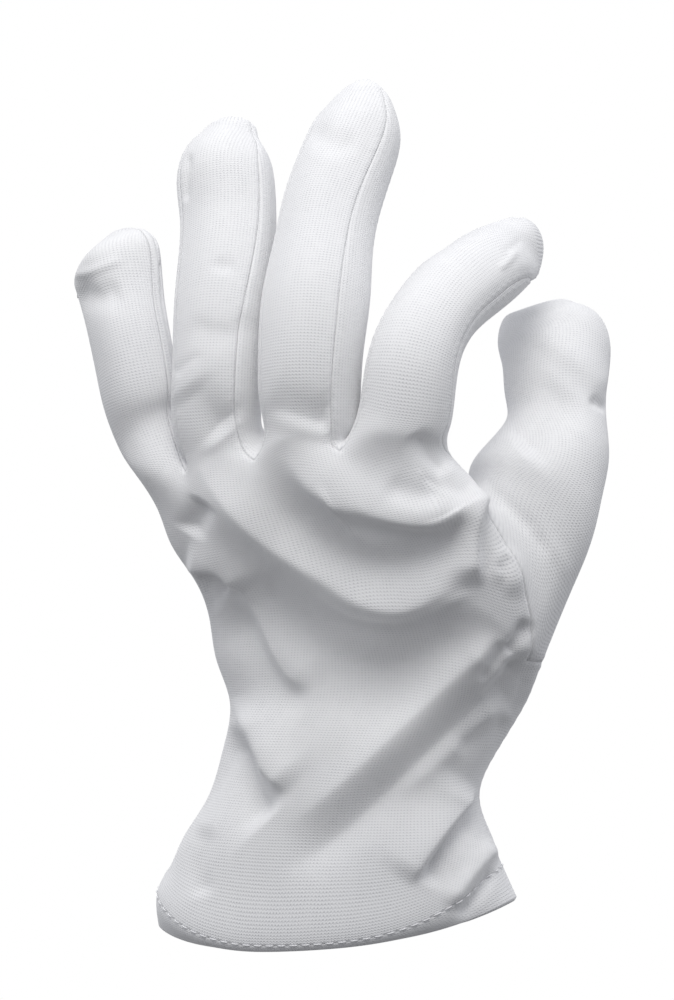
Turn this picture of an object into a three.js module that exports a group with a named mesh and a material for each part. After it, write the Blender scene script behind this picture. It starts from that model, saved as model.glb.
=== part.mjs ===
import * as THREE from "three";

// White knitted dress glove for a left hand, standing on its cuff with the fingers up.
// Millimetres: +Z runs up the hand, +X to the thumb side, +Y from the back of the hand to the palm.
// The origin is the centre of the wrist opening.

const WALL = 1.2;
const HEM_WALL = 1.8;
const SEAM_GAP = 0.4;
const WHITE = 0xe9e9ee;
const CLOTH_ROUGHNESS = 0.9;

// Roundness of the hand sections: 1 is an ellipse, smaller values are squarer.
const HAND_SQUARENESS = 0.86;
// Share of the finger thickness that the seams between two fingers keep at the fork.
const FORK_DEPTH = 0.8;
const FORK_RISE_MIDDLE = 5;
const FORK_RISE_PALM = 4;
const SETTLE_ROUNDS = 24;
const SETTLE_STEP = 1.5;

// Places round a hand section in degrees: the thumb side is 0, the middle of the back is 90.
const HAND_ANGLES = [
  -22, 8, 37, 60, 80, 97, 113, 130, 147, 165,
  180, 195, 213, 230, 246, 260, 273, 285, 297, 311,
];
const SIDE_SEAM = 10;

// Sections of the hand from the wrist opening up: left and right are the edges seen from the front,
// turn is how far the back is turned to the left, slope lifts the thumb side, lift raises both sides
// and drop lowers the back.
const SECTIONS = [
  { z: -5, left: -45.8, right: 46.8, y: 1.5, thick: 41, turn: 16, slope: 3.6, lift: 6.4, drop: 2.5 },
  { z: -1.5, left: -46, right: 43, y: 0, thick: 46, turn: 16, slope: 3, lift: 11.5, drop: 5 },
  { z: 9, left: -42.5, right: 41.5, y: 0, thick: 46, turn: 17, slope: 1.5, lift: 6, drop: 4 },
  { z: 20, left: -38.8, right: 40, y: 0, thick: 45, turn: 18, slope: 0, lift: 1, drop: 2 },
  { z: 31, left: -32.5, right: 37, y: 0, thick: 45, turn: 19, slope: 0, lift: 0, drop: 1 },
  { z: 43, left: -28.6, right: 41.5, y: -1, thick: 45, turn: 21, slope: 0, lift: 0, drop: 0 },
  { z: 55, left: -26.8, right: 48.5, y: -2.5, thick: 43, turn: 23, slope: 0, lift: 0, drop: 0 },
  { z: 66, left: -30.3, right: 53, y: -6, thick: 41, turn: 24, slope: 0, lift: 0, drop: 0 },
  { z: 77, left: -32.2, right: 53, y: -9, thick: 39, turn: 25, slope: 0, lift: 0, drop: 0 },
  { z: 88, left: -36, right: 50, y: -12, thick: 38, turn: 26, slope: 1, lift: 0, drop: 0 },
  { z: 98, left: -42, right: 44.5, y: -13.5, thick: 36, turn: 26, slope: 2, lift: 0, drop: 0 },
  { z: 107.5, left: -45.7, right: 37.8, y: -14.5, thick: 34, turn: 26, slope: 2, lift: 0, drop: 0 },
];

// Finger stations from the knuckle to the tip: x, y, z is the middle of the finger, seen its width from
// the front, flat its thickness as a share of its width, turn as for the hand, seam the place of the side
// seams in degrees, and lean its tilt to the thumb side where the line of the stations doesn't give it.
const FINGERS = {
  index: [
    { x: 17.2, y: -31.5, z: 122, seen: 23.4, flat: 0.95, turn: 26, seam: 44 },
    { x: 17.9, y: -33, z: 129.5, seen: 24, flat: 0.88, turn: 26, seam: 42 },
    { x: 19.4, y: -33, z: 140, seen: 23.6, flat: 0.86, turn: 27, seam: 40 },
    { x: 21.9, y: -30, z: 149, seen: 22.6, flat: 0.86, turn: 28, seam: 38 },
    { x: 26, y: -24.5, z: 156, seen: 22, flat: 0.86, turn: 30, seam: 36 },
    { x: 31, y: -17.5, z: 161.5, seen: 22.4, flat: 0.86, turn: 32, seam: 34 },
    { x: 36.7, y: -10.5, z: 165.8, seen: 21.8, flat: 0.86, turn: 34, seam: 32 },
    { x: 42.6, y: -3, z: 170.2, seen: 19.6, flat: 0.84, turn: 34, seam: 32, lean: 66 },
    { x: 48.7, y: 3.5, z: 173.4, seen: 16.6, flat: 0.7, turn: 34, seam: 32, lean: 82 },
    { x: 53.4, y: 7.5, z: 175, seen: 0, flat: 0.5, turn: 34, seam: 32 },
  ],
  middle: [
    { x: -6.2, y: -22.5, z: 121, seen: 24, flat: 0.95, turn: 26, seam: 44 },
    { x: -6, y: -24, z: 127, seen: 24.5, flat: 0.88, turn: 26, seam: 42 },
    { x: -6.5, y: -24.5, z: 135.2, seen: 26.2, flat: 0.86, turn: 26, seam: 42 },
    { x: -6.2, y: -23.5, z: 146.9, seen: 27, flat: 0.86, turn: 26, seam: 40 },
    { x: -4.9, y: -19, z: 159.9, seen: 27.7, flat: 0.86, turn: 26, seam: 40 },
    { x: -3.1, y: -12, z: 172.9, seen: 25.6, flat: 0.86, turn: 25, seam: 38 },
    { x: -0.8, y: -5, z: 184.6, seen: 25, flat: 0.86, turn: 24, seam: 36 },
    { x: 3, y: 2, z: 196, seen: 24.4, flat: 0.86, turn: 22, seam: 34 },
    { x: 5.7, y: 7.5, z: 203.8, seen: 22.8, flat: 0.84, turn: 20, seam: 34 },
    { x: 7, y: 11, z: 210, seen: 17.4, flat: 0.78, turn: 20, seam: 32 },
    { x: 7.7, y: 13, z: 214.6, seen: 11, flat: 0.7, turn: 20, seam: 28 },
    { x: 8.4, y: 14.5, z: 217.8, seen: 0, flat: 0.6, turn: 20, seam: 28 },
  ],
  ring: [
    { x: -27.8, y: -8.5, z: 117.5, seen: 22, flat: 0.95, turn: 26, seam: 44 },
    { x: -29.6, y: -9.5, z: 124.3, seen: 22.4, flat: 0.88, turn: 26, seam: 42 },
    { x: -30.7, y: -10.5, z: 132.6, seen: 23.4, flat: 0.86, turn: 26, seam: 42 },
    { x: -30.3, y: -9, z: 144.3, seen: 23.6, flat: 0.86, turn: 26, seam: 42 },
    { x: -29.5, y: -5, z: 157.3, seen: 24.4, flat: 0.86, turn: 24, seam: 38 },
    { x: -28.2, y: 1, z: 170.3, seen: 24.8, flat: 0.86, turn: 20, seam: 34 },
    { x: -27.9, y: 7.5, z: 182, seen: 24.8, flat: 0.86, turn: 16, seam: 32 },
    { x: -28.7, y: 12.5, z: 192.4, seen: 25, flat: 0.86, turn: 14, seam: 32 },
    { x: -28.3, y: 16, z: 199.4, seen: 20.6, flat: 0.82, turn: 14, seam: 30 },
    { x: -27.5, y: 17.5, z: 203.4, seen: 14.6, flat: 0.8, turn: 14, seam: 26 },
    { x: -27.3, y: 18.5, z: 206.2, seen: 11.4, flat: 0.7, turn: 14, seam: 22 },
    { x: -27.3, y: 19, z: 208.2, seen: 0, flat: 0.6, turn: 14, seam: 22 },
  ],
  little: [
    { x: -42.6, y: 0.5, z: 115, seen: 19, flat: 0.95, turn: 26, seam: 40 },
    { x: -47.9, y: 4.5, z: 125, seen: 18, flat: 0.88, turn: 26, seam: 30 },
    { x: -50.2, y: 4.5, z: 133.4, seen: 20, flat: 0.86, turn: 26, seam: 22 },
    { x: -52, y: 6, z: 142.7, seen: 20.9, flat: 0.86, turn: 26, seam: 18 },
    { x: -53.8, y: 9, z: 151.6, seen: 21.2, flat: 0.86, turn: 26, seam: 18 },
    { x: -55.4, y: 13, z: 159.4, seen: 21.8, flat: 0.84, turn: 26, seam: 17, lean: -6 },
    { x: -56.9, y: 17, z: 167.4, seen: 23.8, flat: 0.84, turn: 26, seam: 14, lean: -9 },
    { x: -57.4, y: 20, z: 171.6, seen: 22, flat: 0.78, turn: 26, seam: 16, lean: -16 },
    { x: -57, y: 22, z: 175.6, seen: 13.6, flat: 0.74, turn: 26, seam: 20, lean: -18 },
    { x: -57, y: 23.5, z: 178.6, seen: 0, flat: 0.5, turn: 26, seam: 12 },
  ],
};

// Thumb stations from above its hole to the tip; lean is the tilt to the thumb side in degrees.
const THUMB = [
  { x: 53.4, y: -18, z: 97, seen: 25, flat: 0.85, turn: 26, lean: 40 },
  { x: 53.2, y: -13, z: 111, seen: 32, flat: 0.85, turn: 26, lean: 17 },
  { x: 55.4, y: -8, z: 119.8, seen: 31, flat: 0.86, turn: 26, lean: 9 },
  { x: 57.5, y: -3, z: 128.6, seen: 25.8, flat: 0.88, turn: 26, lean: 3 },
  { x: 57.5, y: 2, z: 137, seen: 26.6, flat: 0.86, turn: 26, lean: 0 },
  { x: 57.8, y: 9, z: 145.6, seen: 28.4, flat: 0.8, turn: 26, lean: -4 },
  { x: 55.6, y: 13.5, z: 152.4, seen: 26.6, flat: 0.62, turn: 26, lean: -8 },
  { x: 53.2, y: 15.5, z: 156.8, seen: 19.5, flat: 0.5, turn: 26, lean: -7 },
];
const THUMB_TIP_RISE = 1.6;
const THUMB_TIP_INSET = 0.3;
const THUMB_ANGLES = [0, 36, 72, 108, 144, 180, 216, 252, 288, 324];
const THUMB_HOLE = { first: 7, last: 10, palmColumn: 19, backColumn: 1 };

// Folds of the cloth. A path runs over the front or the back of the glove as x, z places in the view;
// from and to are the height at its two ends, plus for a ridge and minus for a valley; above and below are
// its reach to either side, and lean tips its crest over to the lower side.
const FOLDS = [
  // Over the back of the hand, from the roots of the fingers down.
  { part: "hand", path: [[-18.2, 127.4], [-13, 121.4], [-7.8, 116.2], [-1.3, 111.5], [6.5, 107.4],
      [14.3, 105], [22.1, 103.2], [27.3, 103.5], [31.7, 105.8], [35.1, 108.7]],
    from: 2.5, to: 4.5, above: 6, below: 3.5, lean: 1.5 },
  { part: "hand", path: [[-19, 119.6], [-14.3, 108.4], [-9.1, 101.1], [-2.6, 95.2], [5.2, 91],
      [13, 90.2], [20.8, 91.8], [27.3, 95.4], [31.7, 100.1], [34.6, 104.8]],
    from: -3.5, to: -4.5, above: 7, below: 5, lean: 0 },
  { part: "hand", path: [[-39.8, 123.5], [-31.2, 111.8], [-22.1, 102.2], [-11.7, 93.9], [-2.6, 88.4],
      [6.5, 82.7], [16.9, 80.6], [27.3, 84], [37.2, 86.6]],
    from: 3, to: 4, above: 6.5, below: 4, lean: 1.5 },
  { part: "hand", path: [[-31.2, 98.8], [-24.7, 86.3], [-18.2, 79.3], [-9.1, 71.5], [0, 65],
      [9.1, 61.9], [18.2, 63.4], [27.3, 68.4], [33.8, 74.6], [38.2, 80.3]],
    from: -3, to: -6, above: 8, below: 6, lean: 0 },
  { part: "hand", path: [[13, 112.6], [18.2, 110.5], [23.4, 109.7], [28.6, 111]],
    from: -1.2, to: -1.2, above: 3, below: 2.5, lean: 0 },
  { part: "hand", path: [[20.5, 126.1], [23.4, 121.9], [26.5, 118.3], [30.4, 115.7]],
    from: -2, to: -2, above: 3, below: 3, lean: 0 },
  // Down the little finger's side of the hand.
  { part: "hand", path: [[-29.4, 91.8], [-24.7, 84], [-20.8, 76.2], [-16.4, 68.4], [-11.2, 61.6],
      [-5.2, 57.7]],
    from: 1.5, to: 1.2, above: 5, below: 3, lean: 0 },
  { part: "hand", path: [[-27.8, 81.4], [-23.4, 72.3], [-19, 64.5], [-13, 57.5], [-6.5, 54.3]],
    from: -2, to: -1.5, above: 3, below: 5, lean: 0 },
  // The edge of the hand that lies over the root of the thumb, and the curl below it.
  { part: "hand", path: [[38.2, 85], [37.2, 91], [36.9, 96.2], [37.4, 102.7], [38, 107.9], [34.6, 112.1]],
    from: 3, to: 2, above: 5, below: 2, lean: 0 },
  { part: "hand", path: [[39.8, 84.5], [41.9, 88.7], [44.2, 92.3], [46.3, 91.5], [46.8, 87.1],
      [46.5, 81.4]],
    from: 2.5, to: 2.5, above: 2.5, below: 2.5, lean: 0 },
  // From the root of the thumb down across the wrist.
  { part: "hand", path: [[-14.3, 21.6], [-3.4, 29.9], [9.1, 41.1], [20.8, 52.5], [32.5, 63.2],
      [37.7, 67.9], [42.6, 74.1]],
    from: 2.5, to: 5, above: 9, below: 4, lean: 0.5 },
  { part: "hand", path: [[-15.6, 9.6], [-3.9, 17.4], [11.7, 30.4], [27.3, 43.9], [42.9, 56.9],
      [48.1, 63.2], [51.7, 68.9]],
    from: -2.5, to: -7, above: 5, below: 5, lean: 0 },
  { part: "hand", path: [[10.4, 27.8], [24.7, 38.2], [35.1, 46.8], [40.3, 50.7], [46.5, 54.9]],
    from: 1, to: 3, above: 4, below: 3, lean: 0 },
  { part: "hand", path: [[31.2, 42.4], [39, 46.5], [46.8, 50.7]],
    from: -1.5, to: -2, above: 2.5, below: 3, lean: 0 },
  // Overlap at the little finger's side of the wrist.
  { part: "hand", path: [[-27, 56.9], [-22.9, 48.6], [-20.3, 43.4], [-17.9, 39], [-14.8, 35.6],
      [-10.7, 32.2]],
    from: 2.5, to: 2, above: 7, below: 2.5, lean: 1 },
  { part: "hand", path: [[-27.8, 50.2], [-25.2, 42.4], [-22.9, 35.6], [-20, 29.9], [-15.9, 25.5]],
    from: -3.5, to: -3, above: 3, below: 5, lean: 0 },
  // Overlap at the thumb side of the cuff.
  { part: "hand", path: [[18.2, 7.8], [22.1, 13.8], [27.3, 21.3], [32, 28.3], [36.1, 34.6]],
    from: 2, to: 2.5, above: 7, below: 2, lean: 1 },
  { part: "hand", path: [[22.1, 8.1], [25.2, 12.7], [28.6, 17.4], [32, 22.1], [37.2, 29.4]],
    from: -3.5, to: -4, above: 2, below: 6, lean: 0 },
  { part: "hand", path: [[28.9, 1.3], [33.5, 8.1], [37.7, 13.8], [42.9, 19.5]],
    from: 2, to: 2, above: 2.5, below: 2.5, lean: 0 },
  // Under the root of the little finger.
  { part: "hand", path: [[-39.3, 91.5], [-33.8, 90.7], [-29.4, 88.4], [-25.2, 82.4]],
    from: 2.5, to: 1.5, above: 5, below: 2, lean: 1 },
  { part: "hand", path: [[-37.7, 86.1], [-33, 86.1], [-28.3, 82.9]],
    from: -3.5, to: -2, above: 2, below: 4, lean: 0 },
  { part: "hand", path: [[-38, 98.8], [-35.9, 103.2], [-33.3, 108.4]],
    from: -2.5, to: -2.5, above: 3, below: 3, lean: 0 },
  { part: "hand", path: [[-34.3, 3.9], [-35.6, 13], [-33.5, 24.2]],
    from: -1, to: -1, above: 3, below: 3, lean: 0 },
  // The fingers.
  { part: "ring", path: [[-39.3, 138.1], [-33.8, 131.3], [-27.8, 124.5]],
    from: -2.2, to: -2.2, above: 3.5, below: 3.5, lean: 0 },
  { part: "ring", path: [[-38.7, 154.7], [-32.5, 151.8], [-26, 151.8], [-21.1, 157.3]],
    from: -1.5, to: -1.5, above: 2.5, below: 2.5, lean: 0 },
  { part: "middle", path: [[-19, 132.9], [-11.7, 130.8], [-5.2, 128.7], [-0.3, 127.7]],
    from: -1.6, to: -1.2, above: 6, below: 3, lean: 0 },
  { part: "middle", path: [[-6.5, 205.1], [-1.3, 201.2], [6.5, 199.9]],
    from: -0.8, to: -0.8, above: 3, below: 3, lean: 0 },
  { part: "little", path: [[-67.9, 162.5], [-61.6, 160.9], [-54.9, 163]],
    from: -1.6, to: -1, above: 3, below: 3.5, lean: 0 },
  // The thumb.
  { part: "thumb", path: [[38.2, 111], [42.9, 107.6], [48.1, 103], [52.5, 98.3], [55.9, 92.3]],
    from: -2, to: -1.5, above: 2, below: 2, lean: 0 },
  { part: "thumb", path: [[47.6, 120.4], [52.3, 125.1], [56.4, 130.8], [61.6, 137]],
    from: -1.8, to: -1, above: 4, below: 3.5, lean: 0 },
  { part: "thumb", path: [[50.7, 152.1], [58.5, 147.4], [65.8, 141.2], [70.5, 134.4]],
    from: 0.8, to: 1, above: 4, below: 3, lean: 0 },
  // Over the palm.
  { part: "hand", palm: true, path: [[-38, 104], [-14, 99], [8, 101], [30, 97]],
    from: -2.5, to: -3, above: 6, below: 6, lean: 0 },
  { part: "hand", palm: true, path: [[-34, 88], [-10, 84], [8, 88], [24, 80]],
    from: 2, to: 2, above: 7, below: 7, lean: 0 },
  { part: "hand", palm: true, path: [[-30, 66], [-8, 70], [12, 64], [34, 54]],
    from: -2.5, to: -3, above: 6, below: 6, lean: 0 },
  { part: "hand", palm: true, path: [[-28, 46], [-6, 51], [16, 45], [36, 38]],
    from: 2.5, to: 2.5, above: 6, below: 6, lean: 0 },
  { part: "hand", palm: true, path: [[-30, 33], [-8, 36], [14, 31], [34, 26]],
    from: -2.5, to: -2.5, above: 5, below: 5, lean: 0 },
];
// Folds narrower than this are drawn this wide, to suit the size of the faces.
const FINEST_FOLD = 3.5;
const FOLD_END_FADE = 0.22;
const FOLD_STEPS = 6;
// The view that the fold paths are laid in looks along +Y from this far away and this high.
const EYE_DISTANCE = 2000;
const EYE_HEIGHT = 112;
// A face takes the folds of its side once it turns this far towards it.
const FACING = { none: 0.0, full: 0.35 };

const PART_NAMES = ["hand", "index", "middle", "ring", "little", "thumb"];

const radians = THREE.MathUtils.degToRad;

// A cage corner: its place and how much it belongs to each part of the glove.
function corner(place, part) {
  return [...place, ...PART_NAMES.map((name) => (name === part ? 1 : 0))];
}

function power(value, exponent) {
  return Math.sign(value) * Math.abs(value) ** exponent;
}

// Directions of a section: across to the thumb side and out through the back, square to the axis.
function sectionFrame(axis, turn) {
  const outward = new THREE.Vector3(-Math.sin(radians(turn)), -Math.cos(radians(turn)), 0);
  const back = outward.addScaledVector(axis, -outward.dot(axis)).normalize();
  const across = new THREE.Vector3().crossVectors(axis, back).normalize();
  return { across, back };
}

function handRing(row) {
  const { across, back } = sectionFrame(new THREE.Vector3(0, 0, 1), row.turn);
  const seenHalf = (row.right - row.left) / 2;
  const deepHalf = row.thick / 2;
  const lost = deepHalf * Math.sin(radians(row.turn));
  const wideHalf = Math.sqrt(seenHalf ** 2 - lost ** 2) / Math.cos(radians(row.turn));
  return HAND_ANGLES.map((angle) => {
    const side = power(Math.cos(radians(angle)), HAND_SQUARENESS);
    const out = power(Math.sin(radians(angle)), HAND_SQUARENESS);
    const place = new THREE.Vector3((row.left + row.right) / 2, row.y, row.z);
    place.addScaledVector(across, side * wideHalf);
    place.addScaledVector(back, out * deepHalf);
    place.z += row.slope * side + row.lift * side ** 2 - row.drop * out;
    return place.toArray();
  });
}

// A ring round a finger or thumb at one station, through the given angles.
function stationRing(row, axis, angles) {
  const { across, back } = sectionFrame(axis, row.turn);
  const sideways = new THREE.Vector3(axis.z, 0, -axis.x).normalize();
  const wideHalf = row.seen / 2 / Math.hypot(across.dot(sideways), row.flat * back.dot(sideways));
  return angles.map((angle) => {
    const place = new THREE.Vector3(row.x, row.y, row.z);
    place.addScaledVector(across, wideHalf * Math.cos(radians(angle)));
    place.addScaledVector(back, wideHalf * row.flat * Math.sin(radians(angle)));
    return place.toArray();
  });
}

// Direction of a finger or thumb at a station, leaned as seen from the front where the row says so.
function axisAt(rows, index) {
  const before = rows[Math.max(index - 1, 0)];
  const after = rows[Math.min(index + 1, rows.length - 1)];
  const axis = new THREE.Vector3(after.x - before.x, after.y - before.y, after.z - before.z).normalize();
  if (rows[index].lean !== undefined) {
    const level = Math.hypot(axis.x, axis.z);
    axis.x = level * Math.sin(radians(rows[index].lean));
    axis.z = level * Math.cos(radians(rows[index].lean));
  }
  return axis;
}

function fingerAngles(seam) {
  return [0, seam, 90, 180 - seam, 180, 180 + seam, 270, 360 - seam];
}

const cage = { points: [], faces: [] };

function addPoint(place, part) {
  cage.points.push(corner(place, part));
  return cage.points.length - 1;
}

function addBand(lower, upper, panelOf) {
  lower.forEach((start, k) => {
    const next = (k + 1) % lower.length;
    const panel = panelOf(k);
    if (panel) cage.faces.push({ corners: [start, upper[k], upper[next], lower[next]], panel });
  });
}

// The place on the fork between two neighbouring fingers, at a share of the finger thickness.
function forkPlace(near, far, share, rise) {
  const { back } = sectionFrame(new THREE.Vector3(0, 0, 1), near.turn);
  const place = new THREE.Vector3((near.x + far.x) / 2, (near.y + far.y) / 2, (near.z + far.z) / 2);
  const deep = ((near.seen + far.seen) / 4) * near.flat;
  place.addScaledVector(back, deep * share);
  place.z += rise;
  return place.toArray();
}

function buildHand() {
  const rings = SECTIONS.map((row) => handRing(row).map((place) => addPoint(place, "hand")));
  const upright = new THREE.Vector3(0, 0, 1);
  const names = ["index", "middle", "ring", "little"];
  const bases = names.map((name) => {
    const row = FINGERS[name][0];
    return stationRing(row, upright, fingerAngles(row.seam));
  });
  const add = (place) => addPoint(place, "hand");
  const middleOfFork = [];
  const top = new Array(HAND_ANGLES.length);
  bases.forEach((base, i) => {
    top[2 + 2 * i] = add(base[2]);
    top[18 - 2 * i] = add(base[6]);
  });
  top[0] = add(bases[0][0]);
  top[1] = add(bases[0][1]);
  top[19] = add(bases[0][7]);
  top[9] = add(bases[3][3]);
  top[10] = add(bases[3][4]);
  top[11] = add(bases[3][5]);
  for (let i = 0; i < 3; i += 1) {
    const near = FINGERS[names[i]][0];
    const far = FINGERS[names[i + 1]][0];
    top[3 + 2 * i] = add(forkPlace(near, far, FORK_DEPTH, -1));
    middleOfFork.push(add(forkPlace(near, far, 0, FORK_RISE_MIDDLE)));
    top[17 - 2 * i] = add(forkPlace(near, far, -FORK_DEPTH, FORK_RISE_PALM));
  }
  rings.push(top);
  const inHole = (level, k) =>
    level >= THUMB_HOLE.first &&
    level < THUMB_HOLE.last &&
    (k >= THUMB_HOLE.palmColumn || k < THUMB_HOLE.backColumn);
  for (let level = 0; level + 1 < rings.length; level += 1) {
    addBand(rings[level], rings[level + 1], (k) => {
      if (inHole(level, k)) return null;
      if (level === 0) return "cuff_hem";
      return k < SIDE_SEAM ? "back_panel" : "palm_panel";
    });
  }
  const starts = names.map((name, i) => {
    const left = i < 3 ? [top[3 + 2 * i], middleOfFork[i], top[17 - 2 * i]] : [top[9], top[10], top[11]];
    const right = i > 0 ? [top[19 - 2 * i], middleOfFork[i - 1], top[1 + 2 * i]] : [top[19], top[0], top[1]];
    return [right[1], right[2], top[2 + 2 * i], ...left, top[18 - 2 * i], right[0]];
  });
  return { rings, starts };
}

// Panel of each of the eight strips round a finger, from the thumb side over the back.
function fingerPanels(toThumb, toLittle) {
  return [
    toThumb ?? "back_panel",
    "back_panel",
    "back_panel",
    toLittle ?? "back_panel",
    toLittle ?? "palm_panel",
    "palm_panel",
    "palm_panel",
    toThumb ?? "palm_panel",
  ];
}

function buildFinger(name, start, panels) {
  const rows = FINGERS[name];
  let lower = start;
  for (let i = 1; i + 1 < rows.length; i += 1) {
    const ring = stationRing(rows[i], axisAt(rows, i), fingerAngles(rows[i].seam));
    const upper = ring.map((place) => addPoint(place, name));
    addBand(lower, upper, (k) => panels[k]);
    lower = upper;
  }
  const end = rows[rows.length - 1];
  const tip = addPoint([end.x, end.y, end.z], name);
  const cap = [
    [0, 1, 2, "back_panel"],
    [2, 3, 4, "back_panel"],
    [4, 5, 6, "palm_panel"],
    [6, 7, 0, "palm_panel"],
  ];
  cap.forEach(([a, b, c, panel]) => {
    cage.faces.push({ corners: [lower[a], tip, lower[c], lower[b]], panel });
  });
}

function buildThumb(rings) {
  const { first, last, palmColumn, backColumn } = THUMB_HOLE;
  let lower = [
    rings[first][0],
    rings[first][backColumn],
    rings[first + 1][backColumn],
    rings[first + 2][backColumn],
    rings[last][backColumn],
    rings[last][0],
    rings[last][palmColumn],
    rings[first + 2][palmColumn],
    rings[first + 1][palmColumn],
    rings[first][palmColumn],
  ];
  THUMB.forEach((row, i) => {
    const upper = stationRing(row, axisAt(THUMB, i), THUMB_ANGLES).map((place) => addPoint(place, "thumb"));
    addBand(lower, upper, () => "thumb");
    lower = upper;
  });
  const rightTip = addPoint(raisedMiddle(lower, lower[1], lower[9]), "thumb");
  const leftTip = addPoint(raisedMiddle(lower, lower[4], lower[6]), "thumb");
  const [a, b, c, d, e, f, g, h, i, j] = lower;
  [
    [a, rightTip, c, b],
    [c, rightTip, leftTip, d],
    [d, leftTip, f, e],
    [f, leftTip, h, g],
    [h, leftTip, rightTip, i],
    [i, rightTip, a, j],
  ].forEach((corners) => cage.faces.push({ corners, panel: "thumb" }));
}

// The place between two corners of a ring, drawn in to its middle and raised.
function raisedMiddle(ring, a, b) {
  const side = vectorAt(cage.points[a]).lerp(vectorAt(cage.points[b]), 0.5);
  const middle = new THREE.Vector3();
  ring.forEach((c) => middle.addScaledVector(vectorAt(cage.points[c]), 1 / ring.length));
  const place = side.lerp(middle, THUMB_TIP_INSET);
  return [place.x, place.y, place.z + THUMB_TIP_RISE];
}

function buildCage() {
  const { rings, starts } = buildHand();
  const sides = ["fourchette_index_middle", "fourchette_middle_ring", "fourchette_ring_little"];
  buildFinger("index", starts[0], fingerPanels(null, sides[0]));
  buildFinger("middle", starts[1], fingerPanels(sides[0], sides[1]));
  buildFinger("ring", starts[2], fingerPanels(sides[1], sides[2]));
  buildFinger("little", starts[3], fingerPanels(sides[2], null));
  buildThumb(rings);
  dropUnused();
}

// Removes the cage corners inside the thumb hole, which no face uses.
function dropUnused() {
  const used = new Set(cage.faces.flatMap((face) => face.corners));
  const order = [...used].sort((a, b) => a - b);
  const place = new Map(order.map((old, index) => [old, index]));
  cage.points = order.map((old) => cage.points[old]);
  cage.faces.forEach((face) => {
    face.corners = face.corners.map((old) => place.get(old));
  });
}

function edgesOf(mesh) {
  const edges = new Map();
  mesh.faces.forEach((face, index) => {
    face.corners.forEach((a, i) => {
      const b = face.corners[(i + 1) % 4];
      const key = Math.min(a, b) * mesh.points.length + Math.max(a, b);
      if (!edges.has(key)) edges.set(key, { a, b, faces: [] });
      edges.get(key).faces.push(index);
    });
  });
  return edges;
}

function addScaled(sum, point, factor) {
  for (let i = 0; i < sum.length; i += 1) sum[i] += point[i] * factor;
}

function weighted(list) {
  const sum = new Array(list[0][0].length).fill(0);
  list.forEach(([point, factor]) => addScaled(sum, point, factor));
  return sum;
}

// One round of smooth subdivision of the cage, with round borders.
function refine(mesh) {
  const { points, faces } = mesh;
  const edges = edgesOf(mesh);
  const next = points.map(() => null);
  const facePoints = faces.map(({ corners }) => weighted(corners.map((c) => [points[c], 0.25])));
  const around = points.map(() => ({ faces: [], edges: [], border: [] }));
  faces.forEach(({ corners }, index) => corners.forEach((c) => around[c].faces.push(index)));
  const faceStart = points.length;
  facePoints.forEach((point) => next.push(point));
  edges.forEach((edge) => {
    const middle = weighted([[points[edge.a], 0.5], [points[edge.b], 0.5]]);
    const inner = edge.faces.length === 2;
    const place = inner
      ? weighted([[middle, 0.5], [facePoints[edge.faces[0]], 0.25], [facePoints[edge.faces[1]], 0.25]])
      : middle;
    edge.index = next.length;
    next.push(place);
    [edge.a, edge.b].forEach((c) => {
      around[c].edges.push(middle);
      if (!inner) around[c].border.push(middle);
    });
  });
  points.forEach((point, c) => {
    const near = around[c];
    const n = near.faces.length;
    if (near.border.length) {
      next[c] = weighted([[point, 0.5], [near.border[0], 0.25], [near.border[1], 0.25]]);
      return;
    }
    const parts = [[point, (n - 3) / n]];
    near.faces.forEach((f) => parts.push([facePoints[f], 1 / n ** 2]));
    near.edges.forEach((middle) => parts.push([middle, 2 / n ** 2]));
    next[c] = weighted(parts);
  });
  const refined = [];
  faces.forEach(({ corners, panel }, index) => {
    const edgeAt = corners.map((a, i) => {
      const b = corners[(i + 1) % 4];
      return edges.get(Math.min(a, b) * points.length + Math.max(a, b)).index;
    });
    corners.forEach((c, i) => {
      refined.push({ corners: [c, edgeAt[i], faceStart + index, edgeAt[(i + 3) % 4]], panel });
    });
  });
  return { points: next, faces: refined };
}

// Where each corner lands on the smooth surface that the cage describes.
function onSurface(mesh) {
  const { points, faces } = mesh;
  const near = points.map(() => ({ edges: [], corners: [], border: [] }));
  edgesOf(mesh).forEach(({ a, b, faces: sides }) => {
    near[a].edges.push(b);
    near[b].edges.push(a);
    if (sides.length === 1) {
      near[a].border.push(b);
      near[b].border.push(a);
    }
  });
  faces.forEach(({ corners }) => corners.forEach((c, i) => near[c].corners.push(corners[(i + 2) % 4])));
  return points.map((point, c) => {
    const { edges, corners, border } = near[c];
    if (border.length) return weighted([[point, 4 / 6], ...border.map((b) => [points[b], 1 / 6])]);
    const n = corners.length;
    const total = n * (n + 5);
    return weighted([
      [point, n ** 2 / total],
      ...edges.map((b) => [points[b], 4 / total]),
      ...corners.map((b) => [points[b], 1 / total]),
    ]);
  });
}

// Moves the cage until the smooth surface passes through the corners as given.
function settle(mesh) {
  const wanted = mesh.points;
  const moved = wanted.map((point) => [...point]);
  for (let round = 0; round < SETTLE_ROUNDS; round += 1) {
    const reached = onSurface({ points: moved, faces: mesh.faces });
    moved.forEach((point, c) => {
      for (let axis = 0; axis < 3; axis += 1) {
        point[axis] += SETTLE_STEP * (wanted[c][axis] - reached[c][axis]);
      }
    });
  }
  return { points: moved, faces: mesh.faces };
}

function vectorAt(point) {
  return new THREE.Vector3(point[0], point[1], point[2]);
}

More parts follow.
